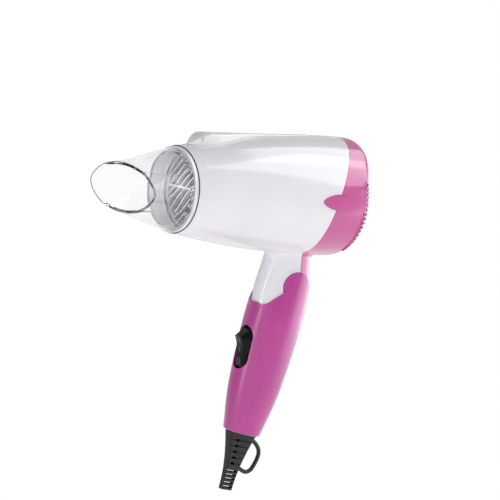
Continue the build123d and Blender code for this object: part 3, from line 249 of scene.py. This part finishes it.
def black_pvc():
    """Soft black PVC: matt, with a fine spark-eroded grain."""
    mat, tree, shader, place = new_material("Black_soft_PVC")
    _, flow = speckled(tree, place, 9.0, 0.0, 1.0)
    tree.links.new(tinted(tree, flow, "#1B1A1B", "#222122"), shader.inputs["Base Color"])
    _, haze = speckled(tree, place, 0.6, 0.48, 0.62, 3.0)
    tree.links.new(haze, shader.inputs["Roughness"])
    grain, _ = speckled(tree, place, 0.35, 0.0, 1.0, 3.0)
    bumped(tree, shader, grain.outputs["Fac"], 0.35, 0.04)
    return mat


def metal(name, main, shade, rough, grain_mm=0.5, stretch=(1.0, 1.0, 1.0), depth_mm=0.01):
    """Bare or plated metal: its own colour in the reflection, and a fine directional grain."""
    mat, tree, shader, place = new_material(name)
    shader.inputs["Metallic"].default_value = 1.0
    lay = put(tree, "ShaderNodeMapping", {"Scale": stretch}, {"Vector": place}).outputs[0]
    _, tint = speckled(tree, lay, grain_mm * 6, 0.0, 1.0)
    tree.links.new(tinted(tree, tint, main, shade), shader.inputs["Base Color"])
    grain, haze = speckled(tree, lay, grain_mm, rough * 0.75, rough * 1.3, 3.0)
    tree.links.new(haze, shader.inputs["Roughness"])
    bumped(tree, shader, grain.outputs["Fac"], 0.2, depth_mm)
    return mat


def zinc_plated_steel():
    """Pressed and zinc-plated steel: cool grey with cloudy spangle."""
    return metal("Zinc_plated_steel", "#C9CBCB", "#B4B7B9", 0.3, 1.2)


def ground_steel():
    """Ground steel of pins and shaft: fine lines round the axis."""
    return metal("Ground_steel", "#C4C5C7", "#AFB1B4", 0.2, 0.25, (6.0, 1.0, 1.0))


def sintered_bronze():
    """Sintered bronze of the oil-filled bushes: porous and warm."""
    return metal("Sintered_bronze", "#B98F52", "#9A7642", 0.42, 0.3, depth_mm=0.03)


def drawn_copper():
    """Turned copper of the commutator."""
    return metal("Turned_copper", "#D98E66", "#C67A55", 0.24, 0.25, (1.0, 5.0, 1.0))


def stamped_brass():
    """Stamped brass of tags and switch blades."""
    return metal("Stamped_brass", "#D9BC74", "#C4A55F", 0.28, 0.4, (1.0, 1.0, 4.0))


def nichrome_wire():
    """Drawn nickel-chrome wire, slightly oxidised by heat."""
    return metal("Oxidised_nichrome", "#A39C92", "#7E776E", 0.36, 0.5)


def ferrite_magnet():
    """Pressed ferrite: dark, grainy and dull."""
    mat, tree, shader, place = new_material("Pressed_ferrite")
    _, tone = speckled(tree, place, 0.5, 0.0, 1.0, 4.0)
    tree.links.new(tinted(tree, tone, "#2F2E2D", "#3C3A38"), shader.inputs["Base Color"])
    shader.inputs["Roughness"].default_value = 0.62
    grain, _ = speckled(tree, place, 0.25, 0.0, 1.0, 4.0)
    bumped(tree, shader, grain.outputs["Fac"], 0.4, 0.03)
    return mat


def mica_sheet():
    """Pressed phlogopite mica: pearly flakes lying flat, smoky amber, drawn dark as painted shade inside the
    barrel.
    """
    mat, tree, shader, place = new_material("Pressed_mica_and_painted_shade")
    flakes = put(tree, "ShaderNodeTexVoronoi", {"Scale": per_mm(1.6)}, {"Vector": place})
    tone = put(tree, "ShaderNodeSeparateColor", links={"Color": flakes.outputs["Color"]}).outputs[0]
    # the dark amber is painted shade of the barrel's inside
    tree.links.new(tinted(tree, tone, "#5F584B", "#7A7263"), shader.inputs["Base Color"])
    shine = put(tree, "ShaderNodeMapRange", {"To Min": 0.22, "To Max": 0.5}, {"Value": tone}).outputs["Result"]
    tree.links.new(shine, shader.inputs["Roughness"])
    bumped(tree, shader, tone, 0.2, 0.02)
    return mat


def glass_fibre_board():
    """Glass-fibre circuit board: amber resin with the cloth's weave just showing."""
    mat, tree, shader, place = new_material("Glass_fibre_board")
    weave = put(tree, "ShaderNodeTexWave", {"Scale": per_mm(6.0), "Distortion": 0.4, "bands_direction": "Y"},
                {"Vector": place})
    tree.links.new(tinted(tree, weave.outputs["Fac"], "#A98C4C", "#98793C"), shader.inputs["Base Color"])
    shader.inputs["Roughness"].default_value = 0.4
    bumped(tree, shader, weave.outputs["Fac"], 0.2, 0.02)
    return mat


FINISHES = {}


def finish_of(make, *args):
    """The material made by a function, made once."""
    key = (make.__name__, args)
    if key not in FINISHES:
        FINISHES[key] = make(*args)
    return FINISHES[key]


def dress(nodes, mat):
    """Give CAD nodes a material."""
    for name in nodes:
        materials = frame["nodes"][name].data.materials
        materials.clear()
        materials.append(mat)


# ---------------------------------------------------------------------------
# Fine pieces laid on the CAD surfaces
# ---------------------------------------------------------------------------

# places along and above the barrel's axis, and lengths, are in millimetres
CREASE = ((25.5, 14.0), (23.0, 9.4), (19.8, 4.4), (16.0, -0.7))
CREASE_RADIUS = 0.3
VENT_FIRST, VENT_PITCH, VENTS_DOWN, VENT_HALF = 18.0, 4.5, 16, 1.2   # degrees, the first above the horizontal
VENT_SPAN = (VENT_FIRST + VENT_HALF, VENT_FIRST - VENTS_DOWN * VENT_PITCH - VENT_HALF)
VENT_CORNER = (25.3, 30.55, 5.85)     # centre along and out from the axis, and radius, of the shade sheet's corner
VENT_INNER = 23.5                     # radius at which the shade sheet ends on the rear face
VENT_ROUND = (10.0, 90.0)             # degrees that the shade sheet goes round the corner
VENT_SHADE_THICKNESS = 0.2
VENT_SHADE_STEPS = (40, 10)                # round the barrel, and round the corner
RING_SEAT = (-88.5, 25.2)             # place and radius of the joint between barrel and swivel ring
RING_SEAT_STEPS = 96
LINE_RADIUS = 0.22                    # of the fine lines at the ring and on the rocker
RIM_RADIUS = 0.3
RIM_DEPTH = 0.6                       # the mouth's edge lies within this of the nozzle's front
RIM_STEPS = 72
MARK_RINGS = (("Rocker_ring_upper", 4.2), ("Rocker_ring_lower", -8.6))   # height above the rocker's pin
MARK_RING_SIZE = (1.3, 1.7)           # half width and half height
MARK_RING_STEPS = 32
MARK_DASH = (-0.2, -2.0, -3.8)
ROCKER_VOXEL = 0.2
ROCKER_ROUNDS = 14
CLEAR_OF_BARREL = 80.0                # rays onto the CAD surfaces start this far out
CLEAR_OF_ROCKER = 30.0


def joint_place(name):
    """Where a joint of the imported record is, in metres."""
    rows = [row for row in frame["record"]["behaviour"]["joints"] if row["name"] == name]
    return Vector(rows[0]["pos_m"])


AXIS = joint_place("fan_spin")          # the barrel's axis, above the fold hinge


def at_barrel(x, y, z):
    """Place in millimetres from the fan axis, above the hinge, as a place in the frame."""
    return Vector((AXIS.x + x * MM, AXIS.y + y * MM, AXIS.z + z * MM))


def on_side(node, x, z, side):
    """Point on the outside of a CAD node, reached from one side at a place along and above the axis."""
    return frame["nodes"][node].ray_cast(at_barrel(x, side * CLEAR_OF_BARREL, z), Vector((0, -side, 0)))[1]


def round_angles(count):
    """Even angles, once round."""
    return [2 * math.pi * k / count for k in range(count)]


def smooth_line(points, steps=12):
    """Even curve through points, with rounded corners between them."""
    line = []
    for i in range(len(points) - 1):
        p0, p1, p2, p3 = (Vector(points[min(max(j, 0), len(points) - 1)]) for j in (i - 1, i, i + 1, i + 2))
        for k in range(steps):
            t = k / steps
            line.append(0.5 * ((2 * p1) + (p2 - p0) * t + (2 * p0 - 5 * p1 + 4 * p2 - p3) * t ** 2
                               + (3 * p1 - p0 - 3 * p2 + p3) * t ** 3))
    return line + [Vector(points[-1])]


def bead(name, line, radius_mm, mat, body, closed=False, facing=None, sides=8):
    """Round bead along a line of places, tapered at its ends unless it is closed.

    Facing is the outward direction at every place, if it isn't away from the barrel's axis.
    """
    rings = []
    count = len(line)
    for i, place in enumerate(line):
        ahead = line[(i + 1) % count] if closed or i < count - 1 else line[i]
        behind = line[i - 1] if closed or i > 0 else line[i]
        along = (ahead - behind).normalized()
        out = facing or Vector((0, place.y, place.z - AXIS.z)).normalized()
        across = along.cross(out).normalized()
        out = across.cross(along)
        end = 1.0 if closed else min(1.0, 0.25 + 3.0 * min(i, count - 1 - i) / count)
        rings.append([place + (across * math.cos(a) + out * math.sin(a)) * radius_mm * MM * end
                      for a in round_angles(sides)])
    points = [p for ring in rings for p in ring]
    faces = []
    for i in range(count if closed else count - 1):
        for k in range(sides):
            j = (i + 1) % count
            faces.append((i * sides + k, i * sides + (k + 1) % sides, j * sides + (k + 1) % sides, j * sides + k))
    if not closed:
        faces += [tuple(range(sides))[::-1], tuple((count - 1) * sides + k for k in range(sides))]
    obj = plain_mesh(name, points, faces, mat)
    obj.data.shade_smooth()
    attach(obj, body)


def vent_shade_sheet(name, side):
    """Dark band of painted shade just under the vented corner, round one side of the cover."""
    x0, r0, radius = VENT_CORNER
    round_steps, corner_steps = VENT_SHADE_STEPS
    first, last = VENT_ROUND
    profile = [(x0 + radius * math.sin(a), r0 + radius * math.cos(a))
               for a in (math.radians(first + (last - first) * k / corner_steps) for k in range(corner_steps + 1))]
    profile.append((x0 + radius, VENT_INNER))
    points, faces = [], []
    for i in range(round_steps + 1):
        a = math.radians(VENT_SPAN[0] + (VENT_SPAN[1] - VENT_SPAN[0]) * i / round_steps)
        points += [at_barrel(x, side * r * math.cos(a), r * math.sin(a)) for x, r in profile]
    n = len(profile)
    for i in range(round_steps):
        for k in range(n - 1):
            faces.append((i * n + k, i * n + k + 1, (i + 1) * n + k + 1, (i + 1) * n + k))
    dark_band = plain_mesh(name, points, faces, finish_of(painted_vent_shade))
    skin = dark_band.modifiers.new("Cloth", "SOLIDIFY")
    skin.thickness = VENT_SHADE_THICKNESS * MM
    dark_band.data.shade_smooth()
    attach(dark_band, "housing")


def mouth_rim():
    """Outer edge of the nozzle's mouth, once round."""
    nozzle = frame["nodes"]["nozzle"]
    places = [nozzle.matrix_world @ v.co for v in nozzle.data.vertices]
    front = min(p.x for p in places)
    rim = [None] * RIM_STEPS
    for p in places:
        if p.x < front + RIM_DEPTH * MM:
            k = int((math.atan2(p.z - AXIS.z, p.y) / (2 * math.pi) % 1.0) * RIM_STEPS)
            far = math.hypot(p.y, p.z - AXIS.z)
            if rim[k] is None or far > math.hypot(rim[k].y, rim[k].z - AXIS.z):
                rim[k] = p
    return [p for p in rim if p is not None]


def rounded_copy(name, node, voxel_mm, rounds, mat, body):
    """Copy of a CAD node with its sharp edges rounded, which stands for the node."""
    data = frame["nodes"][node].data.copy()
    data.name = name
    data.materials.clear()
    data.materials.append(mat)
    obj = bpy.data.objects.new(name, data)
    bpy.context.scene.collection.objects.link(obj)
    even = obj.modifiers.new("Even_mesh", "REMESH")
    even.mode = "VOXEL"
    even.voxel_size = voxel_mm * MM
    even.use_smooth_shade = True
    rounding = obj.modifiers.new("Rounding", "SMOOTH")
    rounding.factor = 0.5
    rounding.iterations = rounds
    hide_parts(node)
    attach(obj, body)


def rocker_marks():
    """Raised ring, dash and ring down the rocker's face."""
    pivot = joint_place("rocker")
    top = joint_place("handle_fold")
    lean = math.atan2(top.x, top.z)
    up = Vector((math.sin(lean), 0, math.cos(lean)))
    out = Vector((-math.cos(lean), 0, math.sin(lean)))
    key = frame["nodes"]["rocker"]

    def on_face(y, h):
        start = pivot + up * h * MM + Vector((0, y * MM, 0)) + out * CLEAR_OF_ROCKER * MM
        return key.ray_cast(start, -out)[1]

    # the raised marks are grey as a painted highlight on their edges
    mat = finish_of(grey_painted_glint)
    wide, tall = MARK_RING_SIZE
    for name, h in MARK_RINGS:
        ring = [on_face(wide * math.cos(a), h + tall * math.sin(a)) for a in round_angles(MARK_RING_STEPS)]
        bead(name, ring, LINE_RADIUS, mat, "rocker_key", True, out)
    dash = smooth_line([on_face(0, h) for h in MARK_DASH])
    bead("Rocker_dash", dash, LINE_RADIUS, mat, "rocker_key", facing=out)


# ---------------------------------------------------------------------------
# Settings that a user may change
# ---------------------------------------------------------------------------

class DRYER_PG_settings(bpy.types.PropertyGroup):
    """Colours and sizes of the dryer's finishes."""
    magenta: StringProperty(name="Rear cover colour", description="sRGB hex colour of rear cover and clips",
                            default="#CE4E99")
    grip: StringProperty(name="Grip colour", description="sRGB hex colour of the handle", default="#BE3894")
    floor_drop: FloatProperty(name="Floor drop", description="Distance of the floor below the dryer",
                              default=0.05, min=0.0, unit="LENGTH")
    key_power: FloatProperty(name="Softbox power", description="Power that each lamp takes its share of",
                             default=7.0, min=0.0, unit="POWER")


# ---------------------------------------------------------------------------
# Operators, one for each group of pieces
# ---------------------------------------------------------------------------

class DRYER_OT_stage(bpy.types.Operator):
    """Floor, backdrop, soft lamps and camera"""
    bl_idname = "dryer.stage"
    bl_label = "Stage"

    def execute(self, context):
        settings = context.scene.dryer
        build_stage(context, CAD_BOX[0].z - settings.floor_drop, settings.key_power)
        return {"FINISHED"}


class DRYER_OT_barrel(bpy.types.Operator):
    """White barrel with its top trim, swivel ring and ion emitter"""
    bl_idname = "dryer.barrel"
    bl_label = "Barrel"

    def execute(self, context):
        dress(["barrel_shell"], finish_of(white_abs))
        dress(["top_trim", "swivel_ring"], finish_of(white_trim_abs))
        x, r = RING_SEAT
        seat = [at_barrel(x, r * math.sin(a), r * math.cos(a)) for a in round_angles(RING_SEAT_STEPS)]
        # dark ring of painted shade where the swivel ring meets the barrel
        bead("Ring_painted_gap_shade", seat, LINE_RADIUS, finish_of(shadow_gap, "#161618"), "housing", True)
        dress(["ion_emitter"], finish_of(black_nylon))
        return {"FINISHED"}


class DRYER_OT_rear_cover(bpy.types.Operator):
    """Vented rear cover with its clips and dust screen"""
    bl_idname = "dryer.rear_cover"
    bl_label = "Rear cover"

    def execute(self, context):
        colour = context.scene.dryer.magenta
        dress(["rear_cover", "side_clips"], finish_of(magenta_abs, colour))
        dress(["inlet_screen"], finish_of(black_nylon))
        for side, word in ((-1, "Left"), (1, "Right")):
            # dark sheet of painted shade under the vents on this side
            vent_shade_sheet(word + "_vent_shade_sheet", side)
            crease = smooth_line([on_side("rear_cover", x, z, side) for x, z in CREASE])
            # the raised crease is drawn lighter pink than the cover: a painted highlight along it
            bead(word + "_cover_crease_painted_highlight", crease, CREASE_RADIUS, finish_of(magenta_abs, "#E58CBF"), "housing")
        return {"FINISHED"}


class DRYER_OT_outlet(bpy.types.Operator):
    """Clear nozzle with the painted grey reflection round its mouth, and the outlet grille"""
    bl_idname = "dryer.outlet"
    bl_label = "Outlet"

    def execute(self, context):
        dress(["nozzle"], finish_of(clear_polycarbonate))
        # light falls through clear plastic, so the nozzle casts no shadow on what is inside it
        frame["nodes"]["nozzle"].visible_shadow = False
        forward = Vector((-1, 0, 0))
        # grey bead round the mouth: painted reflection on the clear edge
        bead("Mouth_rim_painted_reflection", mouth_rim(), RIM_RADIUS, finish_of(painted_rim_reflection), "concentrator", True, forward)
        dress(["front_grille"], finish_of(pale_nylon))
        return {"FINISHED"}


class DRYER_OT_works(bpy.types.Operator):
    """Fan, motor and heater"""
    bl_idname = "dryer.works"
    bl_label = "Fan, motor and heater"

    def execute(self, context):
        dress(["stator", "impeller", "motor_end_cap"], finish_of(grey_nylon))
        dress(["motor_can", "thermostat", "thermal_fuse", "housing_screw"], finish_of(zinc_plated_steel))
        dress(["motor_shaft", "armature"], finish_of(ground_steel))
        dress(["bearings"], finish_of(sintered_bronze))
        dress(["magnets"], finish_of(ferrite_magnet))
        dress(["commutator"], finish_of(drawn_copper))
        dress(["rectifier_board"], finish_of(glass_fibre_board))
        dress(["diodes"], finish_of(black_nylon))
        dress(["mica_sleeve", "mica_upright", "mica_level"], finish_of(mica_sheet))
        dress(["heater_coils"], finish_of(nichrome_wire))
        dress(["heater_terminals"], finish_of(stamped_brass))
        return {"FINISHED"}


class DRYER_OT_handle(bpy.types.Operator):
    """Folding handle with its hinge pin and screws"""
    bl_idname = "dryer.handle"
    bl_label = "Handle"

    def execute(self, context):
        colour = context.scene.dryer.grip
        dress(["handle_front", "handle_back"], finish_of(grip_abs, colour))
        dress(["hinge_pin"], finish_of(ground_steel))
        dress(["handle_screw", "clamp_screws"], finish_of(zinc_plated_steel))
        dress(["cord_clamp"], finish_of(black_nylon))
        return {"FINISHED"}


class DRYER_OT_switch(bpy.types.Operator):
    """Rocker with its marks, switch body, pin and blades"""
    bl_idname = "dryer.switch"
    bl_label = "Rocker switch"

    def execute(self, context):
        rocker_marks()
        rounded_copy("Rocker_key", "rocker", ROCKER_VOXEL, ROCKER_ROUNDS, finish_of(black_gloss_abs), "rocker_key")
        dress(["switch_body"], finish_of(black_nylon))
        dress(["rocker_pin"], finish_of(ground_steel))
        dress(["switch_terminals"], finish_of(stamped_brass))
        return {"FINISHED"}


class DRYER_OT_strain_relief(bpy.types.Operator):
    """Strain relief with its hanging loop"""
    bl_idname = "dryer.strain_relief"
    bl_label = "Strain relief"

    def execute(self, context):
        dress(["strain_relief"], finish_of(black_pvc))
        return {"FINISHED"}


# ---------------------------------------------------------------------------
# Stage
# ---------------------------------------------------------------------------

# name, place from the middle of the dryer, size in metres, share of the key's power, seen in gloss
LAMPS = (
    ("Key_softbox", (0.64, -0.44, 0.74), (0.6, 0.78), 0.55, True),
    ("Overhead_softbox", (0.64, -0.05, 0.83), (0.6, 0.55), 0.31, True),
    ("Left_fill", (-0.85, -0.6, -0.05), (0.6, 0.7), 0.46, False),
    ("Low_fill", (-0.2, -0.75, -0.12), (0.9, 0.1), 0.19, False),
    ("Left_strip", (-0.95, -0.1, 0.0), (0.14, 0.8), 0.25, True),
    ("Right_softbox", (0.55, -0.1, 0.0), (0.8, 0.45), 0.27, True),
)

CAMERA_TARGET = Vector((-16.6, 0.0, 79.2)) * MM
CAMERA_DISTANCE = 0.9
CAMERA_AZIMUTH = -38.0
CAMERA_ELEVATION = 7.7
CAMERA_ROLL = 6.7
CAMERA_LENS = 108.0
MIRRORED_IN_PLASTIC = 0.75      # white seen after a bounce inside the clear nozzle
MIRRORED_ROOM = 0.28            # white seen in the gloss of solid pieces
WORLD_LIGHT = 0.24
FLOOR_GLOW = (1.0, 0.3)         # share of white mirrored from the floor, near and far
BACKDROP_GLOW = (0.5, 0.5)
GLOW_REACH = (0.25, 0.6)        # metres over which the first share gives way to the second
STAGE_HALF = 3.0


def plain_mesh(name, points, faces, mat):
    """Mesh object from points and faces."""
    mesh = bpy.data.meshes.new(name)
    mesh.from_pydata([tuple(p) for p in points], [], faces)
    mesh.materials.append(mat)
    obj = bpy.data.objects.new(name, mesh)
    bpy.context.scene.collection.objects.link(obj)
    return obj


def shown_share(tree, rays):
    """Share of plain white that a ray sees.

    It is all to the camera and through clear plastic, and less once mirrored inside that plastic.
    """
    seen = put(tree, "ShaderNodeMath", {"operation": "MAXIMUM"},
               {0: rays.outputs["Is Camera Ray"], 1: rays.outputs["Is Transmission Ray"]})
    inside = put(tree, "ShaderNodeMath", {"operation": "GREATER_THAN", 1: 0.5},
                 {0: rays.outputs["Transmission Depth"]})
    inside = put(tree, "ShaderNodeMath", {"operation": "MULTIPLY", 1: MIRRORED_IN_PLASTIC}, {0: inside.outputs[0]})
    bounced = put(tree, "ShaderNodeMath", {"operation": "MULTIPLY"},
                  {0: inside.outputs[0], 1: rays.outputs["Is Glossy Ray"]})
    share = put(tree, "ShaderNodeMath", {"operation": "MAXIMUM"}, {0: seen.outputs[0], 1: bounced.outputs[0]})
    return share.outputs[0]


def paper(name, near, far):
    """Seamless white paper: white to the camera, and mirrored less the farther it is from the dryer."""
    mat, tree, shader, place = new_material(name)
    _, tone = speckled(tree, place, 3.0, 0.0, 1.0)
    tree.links.new(tinted(tree, tone, "#FFFFFF", "#FCFCFC"), shader.inputs["Base Color"])
    shader.inputs["Roughness"].default_value = 0.9
    rays = put(tree, "ShaderNodeLightPath")
    seen = shown_share(tree, rays)
    away = put(tree, "ShaderNodeVectorMath", {"operation": "LENGTH"}, {0: place}).outputs["Value"]
    mirrored = put(tree, "ShaderNodeMapRange", {"interpolation_type": "SMOOTHSTEP", "From Min": GLOW_REACH[0],
                                                "From Max": GLOW_REACH[1], "To Min": near, "To Max": far},
                   {"Value": away}).outputs["Result"]
    mirrored = put(tree, "ShaderNodeMath", {"operation": "MULTIPLY"},
                   {0: mirrored, 1: rays.outputs["Is Glossy Ray"]}).outputs[0]
    share = put(tree, "ShaderNodeMath", {"operation": "MAXIMUM"}, {0: seen, 1: mirrored})
    glow = put(tree, "ShaderNodeEmission", {"Color": (1, 1, 1, 1), "Strength": 1.0})
    both = put(tree, "ShaderNodeMixShader", links={0: share.outputs[0], 1: shader.outputs[0], 2: glow.outputs[0]})
    out = [n for n in tree.nodes if n.type == "OUTPUT_MATERIAL"][0]
    tree.links.new(both.outputs[0], out.inputs["Surface"])
    return mat


def softbox(name, place, aim, size, power):
    """Large rectangular lamp aimed at a point."""
    data = bpy.data.lights.new(name, "AREA")
    data.shape = "RECTANGLE"
    data.size, data.size_y = size
    data.energy = power
    lamp = bpy.data.objects.new(name, data)
    lamp.location = place
    lamp.rotation_euler = (Vector(aim) - Vector(place)).to_track_quat("-Z", "Y").to_euler()
    lamp.visible_camera = False
    bpy.context.scene.collection.objects.link(lamp)
    return lamp


def build_stage(context, floor_z, key_power):
    """Floor, backdrop, world, lamps and camera."""
    half = STAGE_HALF
    floor = plain_mesh("Floor", [(-half, -half, floor_z), (half, -half, floor_z), (half, half, floor_z),
                                 (-half, half, floor_z)], [(0, 1, 2, 3)], paper("Floor_paper", *FLOOR_GLOW))
    wall = plain_mesh("Backdrop", [(-half, half, floor_z), (half, half, floor_z), (half, half, half),
                                   (-half, half, half)], [(0, 1, 2, 3)], paper("Backdrop_paper", *BACKDROP_GLOW))
    world = bpy.data.worlds.new("Studio")
    world.use_nodes = True
    tree = world.node_tree
    tree.nodes.clear()
    light = put(tree, "ShaderNodeBackground", {"Color": (1, 1, 1, 1), "Strength": WORLD_LIGHT})
    shown = put(tree, "ShaderNodeBackground", {"Color": (1, 1, 1, 1), "Strength": 1.0})
    rays = put(tree, "ShaderNodeLightPath")
    mirrored = put(tree, "ShaderNodeMath", {"operation": "MULTIPLY", 1: MIRRORED_ROOM},
                   {0: rays.outputs["Is Glossy Ray"]})
    share = put(tree, "ShaderNodeMath", {"operation": "MAXIMUM"},
                {0: shown_share(tree, rays), 1: mirrored.outputs[0]})
    mix = put(tree, "ShaderNodeMixShader",
              links={0: share.outputs[0], 1: light.outputs[0], 2: shown.outputs[0]})
    put(tree, "ShaderNodeOutputWorld", links={"Surface": mix.outputs[0]})
    context.scene.world = world
    centre = (CAD_BOX[0] + CAD_BOX[1]) / 2
    for name, away, size, power_share, in_gloss in LAMPS:
        lamp = softbox(name, centre + Vector(away), centre, size, key_power * power_share)
        lamp.visible_glossy = in_gloss
    place_camera(context)
    context.scene.view_settings.view_transform = "Standard"


def place_camera(context):
    """Camera at the wanted angle, rolled a little."""
    a = math.radians(CAMERA_AZIMUTH)
    e = math.radians(CAMERA_ELEVATION)
    back = Vector((math.sin(a) * math.cos(e), -math.cos(a) * math.cos(e), math.sin(e)))
    data = bpy.data.cameras.new("Camera")
    data.lens = CAMERA_LENS
    data.sensor_width = 36.0
    data.clip_start = 0.01
    camera = bpy.data.objects.new("Camera", data)
    camera.location = CAMERA_TARGET + back * CAMERA_DISTANCE
    look = (-back).to_track_quat("-Z", "Y").to_matrix().to_4x4()
    roll = Matrix.Rotation(math.radians(CAMERA_ROLL), 4, "Z")
    camera.rotation_mode = "QUATERNION"
    camera.rotation_quaternion = (look @ roll).to_quaternion()
    context.scene.collection.objects.link(camera)
    context.scene.camera = camera


# ---------------------------------------------------------------------------
# Panel, registration and run
# ---------------------------------------------------------------------------

STEPS = (DRYER_OT_stage, DRYER_OT_barrel, DRYER_OT_rear_cover, DRYER_OT_outlet, DRYER_OT_works,
         DRYER_OT_handle, DRYER_OT_switch, DRYER_OT_strain_relief)


class DRYER_PT_panel(bpy.types.Panel):
    """Lists the dryer's pieces"""
    bl_label = "Hair Dryer"
    bl_idname = "DRYER_PT_panel"
    bl_space_type = "VIEW_3D"
    bl_region_type = "UI"
    bl_category = "Hair Dryer"

    def draw(self, context):
        settings = context.scene.dryer
        for key in ("magenta", "grip", "floor_drop", "key_power"):
            self.layout.prop(settings, key)
        for step in STEPS:
            self.layout.operator(step.bl_idname)


CLASSES = (DRYER_PG_settings,) + STEPS + (DRYER_PT_panel,)


def register():
    """Register the classes and the settings."""
    for cls in CLASSES:
        bpy.utils.register_class(cls)
    bpy.types.Scene.dryer = PointerProperty(type=DRYER_PG_settings)


def unregister():
    """Remove what register added."""
    del bpy.types.Scene.dryer
    for cls in reversed(CLASSES):
        bpy.utils.unregister_class(cls)


def main():
    """Build the whole scene."""
    register()
    bpy.ops.dryer.stage()
    bpy.ops.dryer.barrel()
    bpy.ops.dryer.rear_cover()
    bpy.ops.dryer.outlet()
    bpy.ops.dryer.works()
    bpy.ops.dryer.handle()
    bpy.ops.dryer.switch()
    bpy.ops.dryer.strain_relief()
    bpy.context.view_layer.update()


if __name__ == "__main__":
    main()
